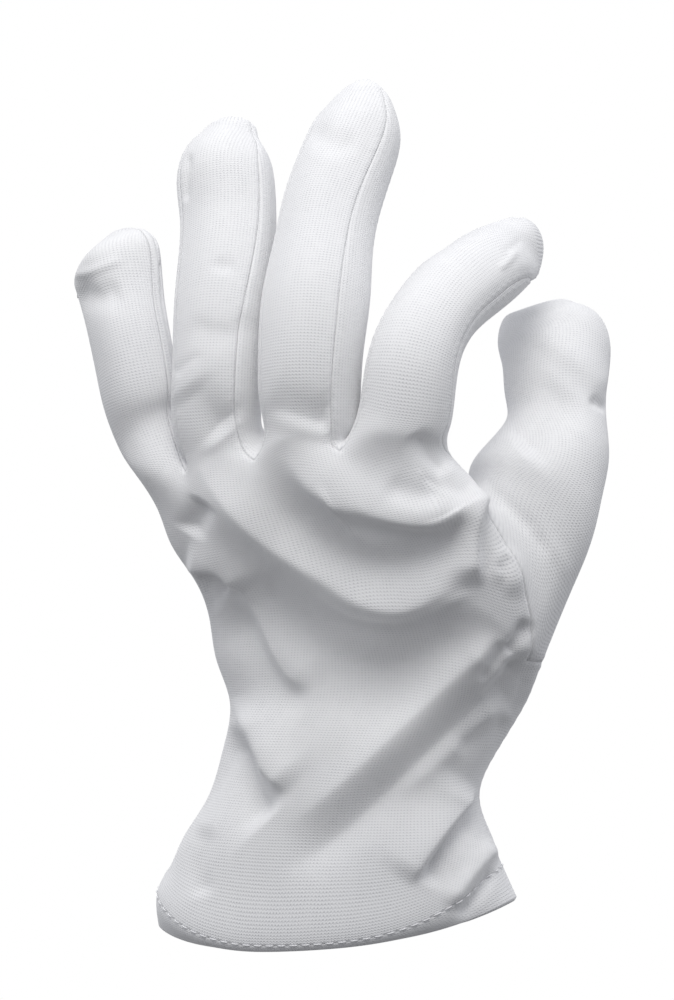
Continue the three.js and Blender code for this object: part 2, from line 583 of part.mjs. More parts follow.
function normalsOf(mesh) {
  const normals = mesh.points.map(() => new THREE.Vector3());
  mesh.faces.forEach(({ corners }) => {
    const [a, b, c, d] = corners.map((index) => vectorAt(mesh.points[index]));
    const normal = c.clone().sub(a).cross(d.sub(b));
    corners.forEach((index) => normals[index].add(normal));
  });
  return normals.map((normal) => normal.normalize());
}

// Smooth line through the places of a fold path, as many short steps.
function foldLine(path) {
  const curve = new THREE.CatmullRomCurve3(path.map(([x, z]) => new THREE.Vector3(x, 0, z)));
  return curve.getPoints((path.length - 1) * FOLD_STEPS);
}

// Nearest step of a fold line: the signed distance, plus above the line, and the share of the way along.
function nearestOnLine(line, x, z) {
  let best = { distance: Infinity };
  for (let i = 0; i + 1 < line.length; i += 1) {
    const stepX = line[i + 1].x - line[i].x;
    const stepZ = line[i + 1].z - line[i].z;
    const length = Math.hypot(stepX, stepZ);
    const along = ((x - line[i].x) * stepX + (z - line[i].z) * stepZ) / length ** 2;
    const held = THREE.MathUtils.clamp(along, 0, 1);
    const offX = x - line[i].x - held * stepX;
    const offZ = z - line[i].z - held * stepZ;
    const distance = Math.hypot(offX, offZ);
    if (distance < best.distance) {
      const upX = -stepZ / length;
      const upZ = stepX / length;
      const side = offX * upX + offZ * upZ < 0 ? -1 : 1;
      best = { distance, side, upX, upZ, share: (i + held) / (line.length - 1) };
    }
  }
  return best;
}

function foldCloth(points, normals) {
  const lines = FOLDS.map((fold) => foldLine(fold.path));
  return points.map((point, c) => {
    const moved = [...point];
    FOLDS.forEach((fold, f) => {
      const facing = fold.palm ? normals[c].y : -normals[c].y;
      const weight = point[3 + PART_NAMES.indexOf(fold.part)];
      const turned = THREE.MathUtils.smoothstep(facing, FACING.none, FACING.full);
      if (turned * weight === 0) return;
      const seen = EYE_DISTANCE / (EYE_DISTANCE + point[1]);
      const near = nearestOnLine(lines[f], point[0] * seen, EYE_HEIGHT + (point[2] - EYE_HEIGHT) * seen);
      const reach = Math.max(near.side > 0 ? fold.above : fold.below, FINEST_FOLD);
      const toEnd = Math.min(near.share, 1 - near.share);
      const fade = THREE.MathUtils.smoothstep(toEnd, 0, FOLD_END_FADE);
      const shape = turned * weight * fade * Math.exp(-((near.distance / reach) ** 2));
      const height = THREE.MathUtils.lerp(fold.from, fold.to, near.share);
      moved[0] += shape * (height * normals[c].x - fold.lean * near.upX);
      moved[1] += shape * height * normals[c].y;
      moved[2] += shape * (height * normals[c].z - fold.lean * near.upZ);
    });
    return moved;
  });
}

// One panel of cloth as a closed shell: outer face, inner face and cut edges.
function panelGeometry(mesh, normals, panel, wall) {
  const faces = mesh.faces.filter((face) => face.panel === panel);
  const used = [...new Set(faces.flatMap((face) => face.corners))];
  const place = new Map(used.map((old, index) => [old, index]));
  const border = new Map();
  faces.forEach(({ corners }) => {
    corners.forEach((a, i) => {
      const b = corners[(i + 1) % 4];
      if (border.has(`${b} ${a}`)) border.delete(`${b} ${a}`);
      else border.set(`${a} ${b}`, [a, b]);
    });
  });
  const pull = new Map();
  border.forEach(([a, b]) => {
    [a, b].forEach((c) => pull.set(c, { inward: new THREE.Vector3(), along: new THREE.Vector3() }));
  });
  faces.forEach(({ corners }) => {
    const middle = new THREE.Vector3();
    corners.forEach((c) => middle.addScaledVector(vectorAt(mesh.points[c]), 0.25));
    corners.forEach((c) => {
      if (pull.has(c)) pull.get(c).inward.add(middle.clone().sub(vectorAt(mesh.points[c])));
    });
  });
  border.forEach(([a, b]) => {
    const along = vectorAt(mesh.points[b]).sub(vectorAt(mesh.points[a])).normalize();
    pull.get(a).along.add(along);
    pull.get(b).along.add(along);
  });
  const outer = used.map((c) => {
    const point = vectorAt(mesh.points[c]);
    if (!pull.has(c)) return point;
    const { inward, along } = pull.get(c);
    const unit = along.lengthSq() > 0 ? along.normalize() : along;
    inward.addScaledVector(normals[c], -inward.dot(normals[c]));
    inward.addScaledVector(unit, -inward.dot(unit));
    return point.addScaledVector(inward.normalize(), SEAM_GAP / 2);
  });
  const inner = used.map((c, index) => outer[index].clone().addScaledVector(normals[c], -wall));
  const count = used.length;
  const triangles = [];
  faces.forEach((face) => {
    const [a, b, c, d] = face.corners.map((old) => place.get(old));
    const { centre } = face;
    const first = outer[a].clone().add(outer[c]).multiplyScalar(0.5).distanceTo(centre);
    const second = outer[b].clone().add(outer[d]).multiplyScalar(0.5).distanceTo(centre);
    const across = first <= second;
    const halves = across ? [[a, b, c], [a, c, d]] : [[a, b, d], [b, c, d]];
    halves.forEach(([p, q, r]) => {
      triangles.push(p, q, r);
      triangles.push(count + r, count + q, count + p);
    });
  });
  border.forEach(([oldA, oldB]) => {
    const a = place.get(oldA);
    const b = place.get(oldB);
    triangles.push(b, a, count + a);
    triangles.push(b, count + a, count + b);
  });
  const geometry = new THREE.BufferGeometry();
  const positions = [...outer, ...inner].flatMap((point) => point.toArray());
  geometry.setAttribute("position", new THREE.Float32BufferAttribute(positions, 3));
  geometry.setIndex(triangles);
  geometry.computeVertexNormals();
  return geometry;
}

buildCage();
const smooth = refine(settle(cage));
const flat = { points: onSurface(smooth), faces: smooth.faces };
const flatNormals = normalsOf(flat);
const surface = { points: foldCloth(flat.points, flatNormals), faces: smooth.faces };
const centres = smooth.faces.map(({ corners }) => weighted(corners.map((c) => [flat.points[c], 0.25])));
const centreNormals = smooth.faces.map(({ corners }) => {
  const sum = new THREE.Vector3();
  corners.forEach((c) => sum.add(flatNormals[c]));
  return sum.normalize();
});
foldCloth(centres, centreNormals).forEach((point, f) => {
  surface.faces[f].centre = vectorAt(point);
});
const normals = normalsOf(surface);

const PANELS = [
  "back_panel",
  "palm_panel",
  "fourchette_index_middle",
  "fourchette_middle_ring",
  "fourchette_ring_little",
  "thumb",
  "cuff_hem",
];
const glove = new THREE.Group();
glove.name = "knitted_dress_glove";
PANELS.forEach((panel) => {
  const wall = panel === "cuff_hem" ? HEM_WALL : WALL;
  const cloth = new THREE.MeshStandardMaterial({ color: WHITE, roughness: CLOTH_ROUGHNESS, metalness: 0 });
  const mesh = new THREE.Mesh(panelGeometry(surface, normals, panel, wall), cloth);
  mesh.name = panel;
  glove.add(mesh);
});

export default glove;
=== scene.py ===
import math
from collections import namedtuple

import bpy
import numpy as np
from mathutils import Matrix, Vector


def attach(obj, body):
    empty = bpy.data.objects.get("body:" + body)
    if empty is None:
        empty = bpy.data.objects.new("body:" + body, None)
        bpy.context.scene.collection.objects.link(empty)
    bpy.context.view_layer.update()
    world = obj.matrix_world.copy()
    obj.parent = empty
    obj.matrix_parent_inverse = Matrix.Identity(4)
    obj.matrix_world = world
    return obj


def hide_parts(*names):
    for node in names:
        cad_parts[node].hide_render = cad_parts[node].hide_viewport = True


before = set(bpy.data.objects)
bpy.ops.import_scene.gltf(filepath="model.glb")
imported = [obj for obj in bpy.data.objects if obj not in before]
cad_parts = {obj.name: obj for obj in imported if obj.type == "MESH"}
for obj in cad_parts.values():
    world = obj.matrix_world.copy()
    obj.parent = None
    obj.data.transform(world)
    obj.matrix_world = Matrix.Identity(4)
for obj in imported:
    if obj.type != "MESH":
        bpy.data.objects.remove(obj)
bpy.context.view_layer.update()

# White knitted dress glove for a left hand, held up by its wrist opening with the fingers up.
# The tables are in millimetres in the frame's own axes: +Z runs up the hand, +X to the thumb side,
# +Y from the back of the hand to the palm.

MM = 0.001
# Thickness of the cloth and of the hem, how far the hem's edges are rounded out, and the gap at a seam.
WALL = 0.95
HEM_WALL = 1.7
HEM_BULGE = 0.6
SEAM_GAP = 0.02
# How many times the coarse net is subdivided.
FINE_LEVELS = 4

# The view: millimetres to a pixel of the photograph, its height in pixels, the camera's distance, the
# height that folds are placed from, and the x and z that the camera looks straight at.
MM_PER_PIXEL = 0.26
PICTURE_HEIGHT = 1000
CAMERA_DISTANCE = 2000.0
EYE_HEIGHT = 112.0
VIEW_CENTRE = (0.52, 107.9)

# Roundness of the hand sections: 1 is an ellipse, smaller values are squarer.
HAND_SQUARENESS = 0.86
# Places round a hand section in degrees: the thumb side is 0, the middle of the back is 90.
HAND_ANGLES = [
    -22, 8, 37, 60, 80, 97, 113, 130, 147, 165,
    180, 195, 213, 230, 246, 260, 273, 285, 297, 311,
]
# The column of HAND_ANGLES where the back ends and the palm starts.
SIDE_SEAM = 10
# Share of the finger thickness that the cloth keeps at a fork, and how far the fork rises over the first
# stations of its two fingers at the back, in the middle and at the palm.
FORK_DEPTH = 0.8
FORK_RISE_BACK = -1.0
FORK_RISE_MIDDLE = 5.0
FORK_RISE_PALM = 4.0
# How the net is moved until its smooth surface passes through the given places.
SETTLE_ROUNDS = 24
SETTLE_STEP = 1.5

# Sections of the hand from the wrist opening up: left and right are the edges seen from the front, turn
# is how far the back is turned to the left, slope lifts the thumb side, lift raises both sides, more the
# further out, and drop lowers the back.
LIFT_POWER = 3
Section = namedtuple("Section", "z left right y thick turn slope lift drop")
SECTIONS = [Section(*row) for row in (
    (-5, -45.8, 46.8, 1.5, 41, 16, 3.6, 6.4, 2.5),
    (-1.5, -46, 43, 0, 46, 16, 3, 11.5, 5),
    (9, -42.5, 41.5, 0, 46, 17, 1.5, 6, 4),
    (20, -38.8, 40, 0, 45, 18, 0, 1, 2),
    (31, -32.5, 37, 0, 45, 19, 0, 0, 1),
    (43, -28.6, 41.5, -1, 45, 21, 0, 0, 0),
    (55, -26.8, 48.5, -2.5, 43, 23, 0, 0, 0),
    (66, -30.3, 53, -6, 41, 24, 0, 0, 0),
    (77, -32.2, 53, -9, 39, 25, 0, 0, 0),
    (88, -36, 50, -12, 38, 26, 1, 0, 0),
    (98, -42, 44.5, -13.5, 36, 26, 2, 0, 0),
    (107.5, -45.7, 37.8, -14.5, 34, 26, 2, 0, 0),
)]

# Stations of the fingers from the knuckle to the tip: x, y, z is the middle of the finger, seen its width
# from the front, flat its thickness as a share of that, turn as for the hand, seam the place of the side
# seams in degrees, and lean the tilt to the thumb side where the line of stations doesn't give it.
Station = namedtuple("Station", "x y z seen flat turn seam lean", defaults=(0, None))


def stations(*rows):
    return [Station(*row) for row in rows]


FINGERS = {
    "index": stations(
        (17.2, -31.5, 122, 23.4, 0.95, 26, 44),
        (17.9, -33, 129.5, 24, 0.88, 26, 42),
        (19.4, -33, 140, 23.6, 0.86, 27, 40),
        (21.9, -30, 149, 22.6, 0.86, 28, 38),
        (26, -24.5, 156, 22, 0.86, 30, 36),
        (31, -17.5, 161.5, 22.4, 0.86, 32, 34),
        (36.7, -10.5, 165.8, 21.8, 0.86, 34, 32),
        (42.6, -3, 170.2, 19.6, 0.84, 34, 32, 66),
        (48.7, 3.5, 173.4, 16.6, 0.7, 34, 32, 82),
        (53.4, 7.5, 175, 0, 0.5, 34, 32),
    ),
    "middle": stations(
        (-6.2, -22.5, 121, 24, 0.95, 26, 44),
        (-6, -24, 127, 24.5, 0.88, 26, 42),
        (-6.5, -24.5, 135.2, 26.2, 0.86, 26, 42),
        (-6.2, -23.5, 146.9, 27, 0.86, 26, 40),
        (-4.9, -19, 159.9, 27.7, 0.86, 26, 40),
        (-3.1, -12, 172.9, 25.6, 0.86, 25, 38),
        (-0.8, -5, 184.6, 25, 0.86, 24, 36),
        (3, 2, 196, 24.4, 0.86, 22, 34),
        (5.7, 7.5, 203.8, 22.8, 0.84, 20, 34),
        (7, 11, 210, 17.4, 0.78, 20, 32),
        (7.7, 13, 214.6, 11, 0.7, 20, 28),
        (8.4, 14.5, 217.8, 0, 0.6, 20, 28),
    ),
    "ring": stations(
        (-27.8, -8.5, 117.5, 22, 0.95, 26, 44),
        (-29.6, -9.5, 124.3, 22.4, 0.88, 26, 42),
        (-30.7, -10.5, 132.6, 23.4, 0.86, 26, 42),
        (-30.3, -9, 144.3, 23.6, 0.86, 26, 42),
        (-29.5, -5, 157.3, 24.4, 0.86, 24, 38),
        (-28.2, 1, 170.3, 24.8, 0.86, 20, 34),
        (-27.9, 7.5, 182, 24.8, 0.86, 16, 32),
        (-28.7, 12.5, 192.4, 25, 0.86, 14, 32),
        (-28.3, 16, 199.4, 20.6, 0.82, 14, 30),
        (-27.5, 17.5, 203.4, 14.6, 0.8, 14, 26),
        (-27.3, 18.5, 206.2, 11.4, 0.7, 14, 22),
        (-27.3, 19, 208.2, 0, 0.6, 14, 22),
    ),
    "little": stations(
        (-42.6, 0.5, 115, 19, 0.95, 26, 40),
        (-47.9, 4.5, 125, 18, 0.88, 26, 30),
        (-50.2, 4.5, 133.4, 20, 0.86, 26, 22),
        (-52, 6, 142.7, 20.9, 0.86, 26, 18),
        (-53.8, 9, 151.6, 21.2, 0.86, 26, 18),
        (-55.4, 13, 159.4, 21.8, 0.84, 26, 17, -6),
        (-56.9, 17, 167.4, 23.8, 0.84, 26, 14, -9),
        (-57.4, 20, 171.6, 22, 0.78, 26, 16, -16),
        (-57, 22, 175.6, 13.6, 0.74, 26, 20, -18),
        (-57, 23.5, 178.6, 0, 0.5, 26, 12),
    ),
}
# Stations of the thumb from above its hole to the tip.
THUMB = stations(
    (53.4, -18, 97, 25, 0.85, 26, 0, 40),
    (53.2, -13, 111, 32, 0.85, 26, 0, 17),
    (55.4, -8, 119.8, 31, 0.86, 26, 0, 9),
    (57.5, -3, 128.6, 25.8, 0.88, 26, 0, 3),
    (57.5, 2, 137, 26.6, 0.86, 26, 0, 0),
    (57.8, 9, 145.6, 28.4, 0.8, 26, 0, -4),
    (55.6, 13.5, 152.4, 26.6, 0.62, 26, 0, -8),
    (53.2, 15.5, 156.8, 19.5, 0.5, 26, 0, -7),
)
# How the web by the thumb is drawn sideways and up: x, z is the middle of the pull, reach its width, and
# depth the y from which it comes in, over PULL_FADE.
Pull = namedtuple("Pull", "x z depth reach right up")
WEB_PULLS = [
    Pull(43.5, 101.5, -60, 13.5, -4.2, 8),
    Pull(39.5, 108.5, -36, 7.5, -4.5, 0),
]
PULL_FADE = 10
# The thumb's cap: how far its ridge stands over the last ring, and how far in the ridge's ends lie.
THUMB_TIP_RISE = 1.6
THUMB_TIP_INSET = 0.3
THUMB_ANGLES = list(range(0, 360, 36))
# The thumb's hole in the hand: its lowest and highest section, and the columns at its two sides.
THUMB_HOLE = {"first": 7, "last": 10, "palm_column": 19, "back_column": 1}
# The column of THUMB_ANGLES where the thumb's own seam runs up its palm side.
THUMB_SEAM = 7

PANELS = [
    "back_panel", "palm_panel", "fourchette_index_middle", "fourchette_middle_ring",
    "fourchette_ring_little", "thumb", "cuff_hem",
]
PARTS = ["hand", "index", "middle", "ring", "little", "thumb"]

# Folds of the cloth. A path runs over one side of the glove as x, z places seen from the front. first and
# last are the height at its two ends, plus for a ridge and minus for a valley. above and below are its
# reach to either side, lean tips its crest over to the lower side, and sharp is 2 for a round crest and
# less for one more like a crease. All are measured on the unfolded cloth and added up.
Fold = namedtuple("Fold", "part side path first last above below lean sharp", defaults=(0, 2))


def folds(part, side, *rows):
    return [Fold(part, side, *row) for row in rows]


LARGE_FOLDS = folds(
    "hand", "back",
    # Over the back of the hand, from the roots of the fingers down.
    ([(-14, 122.5), (-7.8, 115.5), (-1.3, 110), (6.5, 106.5), (14.3, 104.8), (22.1, 103.5),
      (27.3, 103.5), (31, 107), (33, 110.7)], 2.5, 4, 8, 4, 1.5),
    ([(-19, 119.6), (-14.3, 108.4), (-9.1, 101.1), (-2.6, 95.2), (5.2, 91), (13, 90.2), (20.8, 91.8),
      (27.3, 95.4), (31.7, 100.1), (34.6, 104.8)], -3, -3.5, 6, 6),
    ([(-39.8, 123.5), (-31.2, 111.8), (-22.1, 102.2), (-11.7, 93.9), (-2.6, 88.4), (6.5, 82.7),
      (16.9, 80.6), (27.3, 84), (37.2, 86.6)], 2, 1.5, 4, 5, 1.5, 1.5),
    ([(-31.2, 98.8), (-24.7, 86.3), (-18.2, 79.3), (-9.1, 71.5), (0, 65), (9.1, 61.9), (18.2, 63.4),
      (27.3, 68.4), (33.8, 74.6), (38.2, 80.3)], -4, -5, 9, 11),
    ([(13, 112.6), (18.2, 110.5), (23.4, 109.7), (28.6, 111)], -1.2, -1.2, 3, 2.5),
    ([(20.5, 126.1), (23.4, 121.9), (26.5, 118.3), (30.4, 115.7)], -2, -2, 3, 3),
    # Down the little finger's side of the hand.
    ([(-29.4, 91.8), (-24.7, 84), (-20.8, 76.2), (-16.4, 68.4), (-11.2, 61.6),
      (-5.2, 57.7)], 1.5, 1.2, 5, 3),
    ([(-27.8, 81.4), (-23.4, 72.3), (-19, 64.5), (-13, 57.5), (-6.5, 54.3)], -2, -1.5, 3, 5),
    # The edge of the hand that lies over the root of the thumb, and the curl below it.
    ([(38.2, 85), (37.2, 91), (36.9, 96.2), (37.4, 102.7), (38, 107.9), (34.6, 112.1)], 4, 3, 7, 2.5),
    ([(39.8, 84.5), (41.9, 88.7), (44.2, 92.3), (46.3, 91.5), (46.8, 87.1), (46.5, 81.4)], 0.5, 2, 2.5, 3),
    # From the root of the thumb down across the wrist.
    ([(-14.3, 21.6), (-3.4, 29.9), (9.1, 41.1), (20.8, 52.5), (32.5, 63.2), (37.7, 67.9),
      (42.6, 74.1)], 1.5, 4, 4, 7, 0.5, 1.5),
    ([(-15.6, 9.6), (-3.9, 17.4), (11.7, 30.4), (27.3, 43.9), (42.9, 56.9), (48.1, 63.2),
      (51.7, 68.9)], -2, -6, 6, 6, 0, 1.5),
    ([(10.4, 27.8), (24.7, 38.2), (35.1, 46.8), (40.3, 50.7), (46.5, 54.9)], 1, 3, 4, 3),
    ([(31.2, 42.4), (39, 46.5), (46.8, 50.7)], -1, -1.5, 3, 3),
    # Overlap at the little finger's side of the wrist.
    ([(-27, 56.9), (-22.9, 48.6), (-20.3, 43.4), (-17.9, 39), (-14.8, 35.6),
      (-10.7, 32.2)], 2.5, 2, 7, 2.5, 1),
    ([(-27.8, 50.2), (-25.2, 42.4), (-22.9, 35.6), (-20, 29.9), (-15.9, 25.5)], -4, -5, 4, 7, 0, 1.5),
    # Overlap at the thumb side of the cuff.
    ([(18.2, 7.8), (22.1, 13.8), (27.3, 21.3), (32, 28.3), (36.1, 34.6)], 2, 2.5, 7, 2, 1),
    ([(22.1, 8.1), (25.2, 12.7), (28.6, 17.4), (32, 22.1), (37.2, 29.4)], -2.5, -1, 2, 4),
    ([(28.9, 1.3), (33.5, 8.1), (37.7, 13.8), (42.9, 19.5)], 2, 2, 2.5, 2.5),
    # Under the root of the little finger.
    ([(-39.3, 91.5), (-33.8, 90.7), (-29.4, 88.4), (-25.2, 82.4)], 2.5, 1.5, 5, 2, 1),
    ([(-37.7, 86.1), (-33, 86.1), (-28.3, 82.9)], -3.5, -2, 2, 4),
    ([(-38, 98.8), (-35.9, 103.2), (-33.3, 108.4)], -2.5, -2.5, 3, 3),
    ([(-34.3, 3.9), (-35.6, 13), (-33.5, 24.2)], -1, -1, 3, 3),
) + folds(
    "ring", "back",
    # The fingers.
    ([(-39.3, 138.1), (-33.8, 131.3), (-27.8, 124.5)], -1, -3, 6, 7),
    ([(-38.7, 154.7), (-32.5, 151.8), (-26, 151.8), (-21.1, 157.3)], -0.5, -0.7, 2.5, 4),
) + folds(
    "middle", "back",
    ([(-19, 132.9), (-11.7, 130.8), (-5.2, 128.7), (-0.3, 127.7)], -0.5, -2.5, 6, 2.5),
    ([(-6.5, 205.1), (-1.3, 201.2), (6.5, 199.9)], -0.8, -0.8, 3, 3),
) + folds(
    "little", "back",
    ([(-67.9, 162.5), (-61.6, 160.9), (-54.9, 163)], -1.6, -1, 3, 3.5),
) + folds(
    "thumb", "back",
    # The thumb.
    ([(38.2, 111), (42.9, 107.6), (48.1, 103), (52.5, 98.3), (55.9, 92.3)], -2, -1.5, 2, 2),
    ([(47.6, 120.4), (52.3, 125.1), (56.4, 130.8), (61.6, 137)], -2.5, -1.5, 7, 6),
    ([(50.7, 152.1), (58.5, 147.4), (65.8, 141.2), (70.5, 134.4)], 0.8, 1, 4, 3),
) + folds(
    "hand", "palm",
    # Over the palm.
    ([(-38, 104), (-14, 99), (8, 101), (30, 97)], -2.5, -3, 6, 6),
    ([(-34, 88), (-10, 84), (8, 88), (24, 80)], 2, 2, 7, 7),
    ([(-30, 66), (-8, 70), (12, 64), (34, 54)], -2.5, -3, 6, 6),
    ([(-28, 46), (-6, 51), (16, 45), (36, 38)], 2.5, 2.5, 6, 6),
    ([(-30, 33), (-8, 36), (14, 31), (34, 26)], -2.5, -2.5, 5, 5),
)
SMALL_FOLDS = folds(
    "hand", "back",
    # Low ridge in the valley under the long fold of the hand.
    ([(-16.9, 94.1), (-9.1, 85.8), (1.3, 78.8), (11.7, 76.4), (22.1, 77.5), (32.5, 82.7),
      (37.7, 84.2)], 0.2, 0.4, 1.5, 1.5),
    # Small ridge beside the knuckle fold, and the sharp lower edge of that fold.
    ([(-2.9, 113.6), (0, 107.9), (3.1, 101.9), (7.3, 94.9)], 0.8, 0.6, 0.9, 1),
    ([(1.3, 107.1), (7.8, 104.5), (15.6, 101.4), (23.4, 100.1), (29.4, 101.4),
      (34.6, 106.3)], -0.7, -1.4, 1.6, 3),
    # Slits and a ridge at the root of the thumb.
    ([(44.5, 67.6), (47.3, 71.5), (50.4, 77)], -2, -3, 1.5, 2),
    ([(37.2, 60.1), (40.8, 65.3), (45, 70.5)], -1, -2, 1.8, 2.2),
    ([(35.6, 54.9), (39.8, 59), (43.7, 63.7), (46.5, 68.4)], 0.5, 1, 1.8, 2),
    ([(42.6, 88.9), (43.7, 91.5), (45, 93.1)], -0.8, -0.8, 1.2, 1.2),
    # Sharp edges of the overlaps, and a line down the little finger's side.
    ([(39.3, 85), (38.5, 90.7), (38.2, 96.2), (38.7, 102.7), (39.3, 107.9),
      (36.1, 112.6)], -2.5, -2, 1, 2.5),
    ([(-27.3, 55.4), (-23.4, 47.6), (-21.1, 42.4), (-19, 37.7)], -1.2, -0.8, 1.2, 2),
    ([(22.4, 10.7), (24.7, 14.3), (27.3, 18.2), (29.9, 22.1), (32.5, 26),
      (36.7, 31.7)], -1.6, -1.6, 0.8, 1),
    ([(-37.2, 90), (-31.5, 89.2), (-28.3, 86.3), (-24.7, 80.6)], -1.4, -1, 0.7, 1.6),
    ([(31.5, -0.8), (35.1, 3.1), (38.5, 7.5), (41.3, 12.7)], -1.4, -1.8, 1.6, 1.6),
    ([(-24.7, 81.4), (-21.6, 76.7), (-18.5, 70.2), (-14.3, 62.7), (-10.4, 59)], 0.4, 0.3, 0.9, 1),
) + folds(
    "ring", "back",
    # Fingers and thumb.
    ([(-38.7, 184.9), (-38.7, 191.6), (-37.7, 198.9)], -0.9, -0.9, 0.9, 0.9),
    ([(-41.9, 140.1), (-39.3, 143), (-34.1, 146.4)], -0.4, -0.2, 1.2, 1.2),
    ([(-32, 169.8), (-28.9, 168.5), (-25.7, 169.3)], -0.5, -0.5, 2, 1.5),
) + folds(
    "little", "back",
    ([(-68.4, 166.1), (-64.2, 166.9), (-59.5, 168.7), (-54.9, 170.8)], 0.7, 0.4, 1.5, 1),
) + folds(
    "index", "back",
    ([(42.4, 167.7), (45, 169.8), (47.6, 173.2)], 0.5, 0.5, 0.9, 0.9),
    ([(43.9, 172.4), (46.5, 173.9), (48.6, 176)], -0.4, -0.4, 0.9, 0.9),
) + folds(
    "thumb", "back",
    ([(65.8, 134.4), (69.9, 132.3), (72.5, 130.8)], -1.2, -1.2, 1.2, 1.2),
    ([(49.7, 101.7), (56.4, 96.2), (61.6, 86.6)], 0.6, 0.5, 1.5, 1.5),
)

# A fold fades out towards its ends and where the cloth turns away from its side. FOLD_CUT is how many
# reaches from its path it is worked out, and FOLD_STEPS the steps between two places of the path.
FACING = (0.0, 0.35)
FOLD_END_FADE = 0.22
FOLD_CUT = 2.6
FOLD_STEPS = 6


def radians(values):
    return np.radians(np.asarray(values, float))


def unit(vector):
    return vector / np.linalg.norm(vector)


def power(values, exponent):
    return np.sign(values) * np.abs(values) ** exponent


def smoothstep(values, low, high):
    t = np.clip((values - low) / (high - low), 0, 1)
    return t * t * (3 - 2 * t)


def section_frame(axis, turn):
    """Directions of a section: across to the thumb side and out through the back, square to the axis."""
    outward = np.array([-math.sin(math.radians(turn)), -math.cos(math.radians(turn)), 0.0])
    back = unit(outward - axis * outward.dot(axis))
    return unit(np.cross(axis, back)), back


UPRIGHT = np.array([0.0, 0.0, 1.0])


def hand_ring(row):
    """Places round the hand at one section."""
    across, back = section_frame(UPRIGHT, row.turn)
    turn = math.radians(row.turn)
    deep_half = row.thick / 2
    seen_half = (row.right - row.left) / 2
    wide_half = math.sqrt(seen_half**2 - (deep_half * math.sin(turn)) ** 2) / math.cos(turn)
    angles = radians(HAND_ANGLES)
    side = power(np.cos(angles), HAND_SQUARENESS)
    out = power(np.sin(angles), HAND_SQUARENESS)
    middle = np.array([(row.left + row.right) / 2, row.y, row.z])
    ring = middle + np.outer(side * wide_half, across) + np.outer(out * deep_half, back)
    ring[:, 2] += row.slope * side + row.lift * np.abs(side) ** LIFT_POWER - row.drop * out
    return ring


def station_ring(row, axis, angles):
    """Places round a finger or thumb at one station."""
    across, back = section_frame(axis, row.turn)
    sideways = unit(np.array([axis[2], 0.0, -axis[0]]))
    wide_half = row.seen / 2 / math.hypot(across.dot(sideways), row.flat * back.dot(sideways))
    angles = radians(angles)
    middle = np.array([row.x, row.y, row.z])
    return middle + wide_half * (
        np.outer(np.cos(angles), across) + row.flat * np.outer(np.sin(angles), back)
    )


def axis_at(rows, index):
    """Direction of a finger or thumb at a station, leaned where the row says so."""
    before = rows[max(index - 1, 0)]
    after = rows[min(index + 1, len(rows) - 1)]
    axis = unit(np.array([after.x - before.x, after.y - before.y, after.z - before.z], float))
    if rows[index].lean is not None:
        level = math.hypot(axis[0], axis[2])
        lean = math.radians(rows[index].lean)
        axis = np.array([level * math.sin(lean), axis[1], level * math.cos(lean)])
    return axis


def finger_angles(seam):
    """Places round a finger in degrees, with its side seams at the given one."""
    return [0, seam, 90, 180 - seam, 180, 180 + seam, 270, 360 - seam]


def steps_round(ring):
    """Length of each step round a closed ring of places."""
    return np.linalg.norm(np.roll(ring, -1, 0) - ring, axis=1)


class Cage:
    """The coarse net of the glove: corners, faces, and where each face corner lies on its flat cloth."""

    def __init__(self):
        self.points = []
        self.parts = []
        self.faces = []
        self.panels = []
        self.cloth = []

    def add(self, place, part):
        self.points.append(np.asarray(place, float))
        self.parts.append(PARTS.index(part))
        return len(self.points) - 1

    def face(self, corners, panel, cloth):
        self.faces.append(corners)
        self.panels.append(PANELS.index(panel))
        self.cloth.append(cloth)

    def places(self, ring):
        return np.array([self.points[c] for c in ring])

    def band(self, lower, upper, panel_of, low_cloth, high_cloth):
        """Faces between two rings. Their cloth gives the start and end of each strip."""
        for k, start in enumerate(lower):
            panel = panel_of(k)
            if panel is None:
                continue
            after = (k + 1) % len(lower)
            cloth = [low_cloth[k][0], high_cloth[k][0], high_cloth[k][1], low_cloth[k][1]]
            self.face([start, upper[k], upper[after], lower[after]], panel, cloth)


def fork_place(near, far, share, rise):
    """A place in the fork between two fingers: share 0 is its middle, minus is towards the palm."""
    _, back = section_frame(UPRIGHT, near.turn)
    place = np.array([near.x + far.x, near.y + far.y, near.z + far.z]) / 2
    place += back * (near.seen + far.seen) / 4 * near.flat * share
    place[2] += rise
    return place


def strips_from(ring, first, start):
    """How far round each strip of a ring starts and ends. Column first lies at start."""
    steps = steps_round(ring)
    count = len(ring)
    order = [(first + i) % count for i in range(count)]
    total = np.concatenate([[0.0], np.cumsum(steps[order])]) + start
    strips = [None] * count
    for i, k in enumerate(order):
        strips[k] = (total[i], total[i + 1])
    return strips


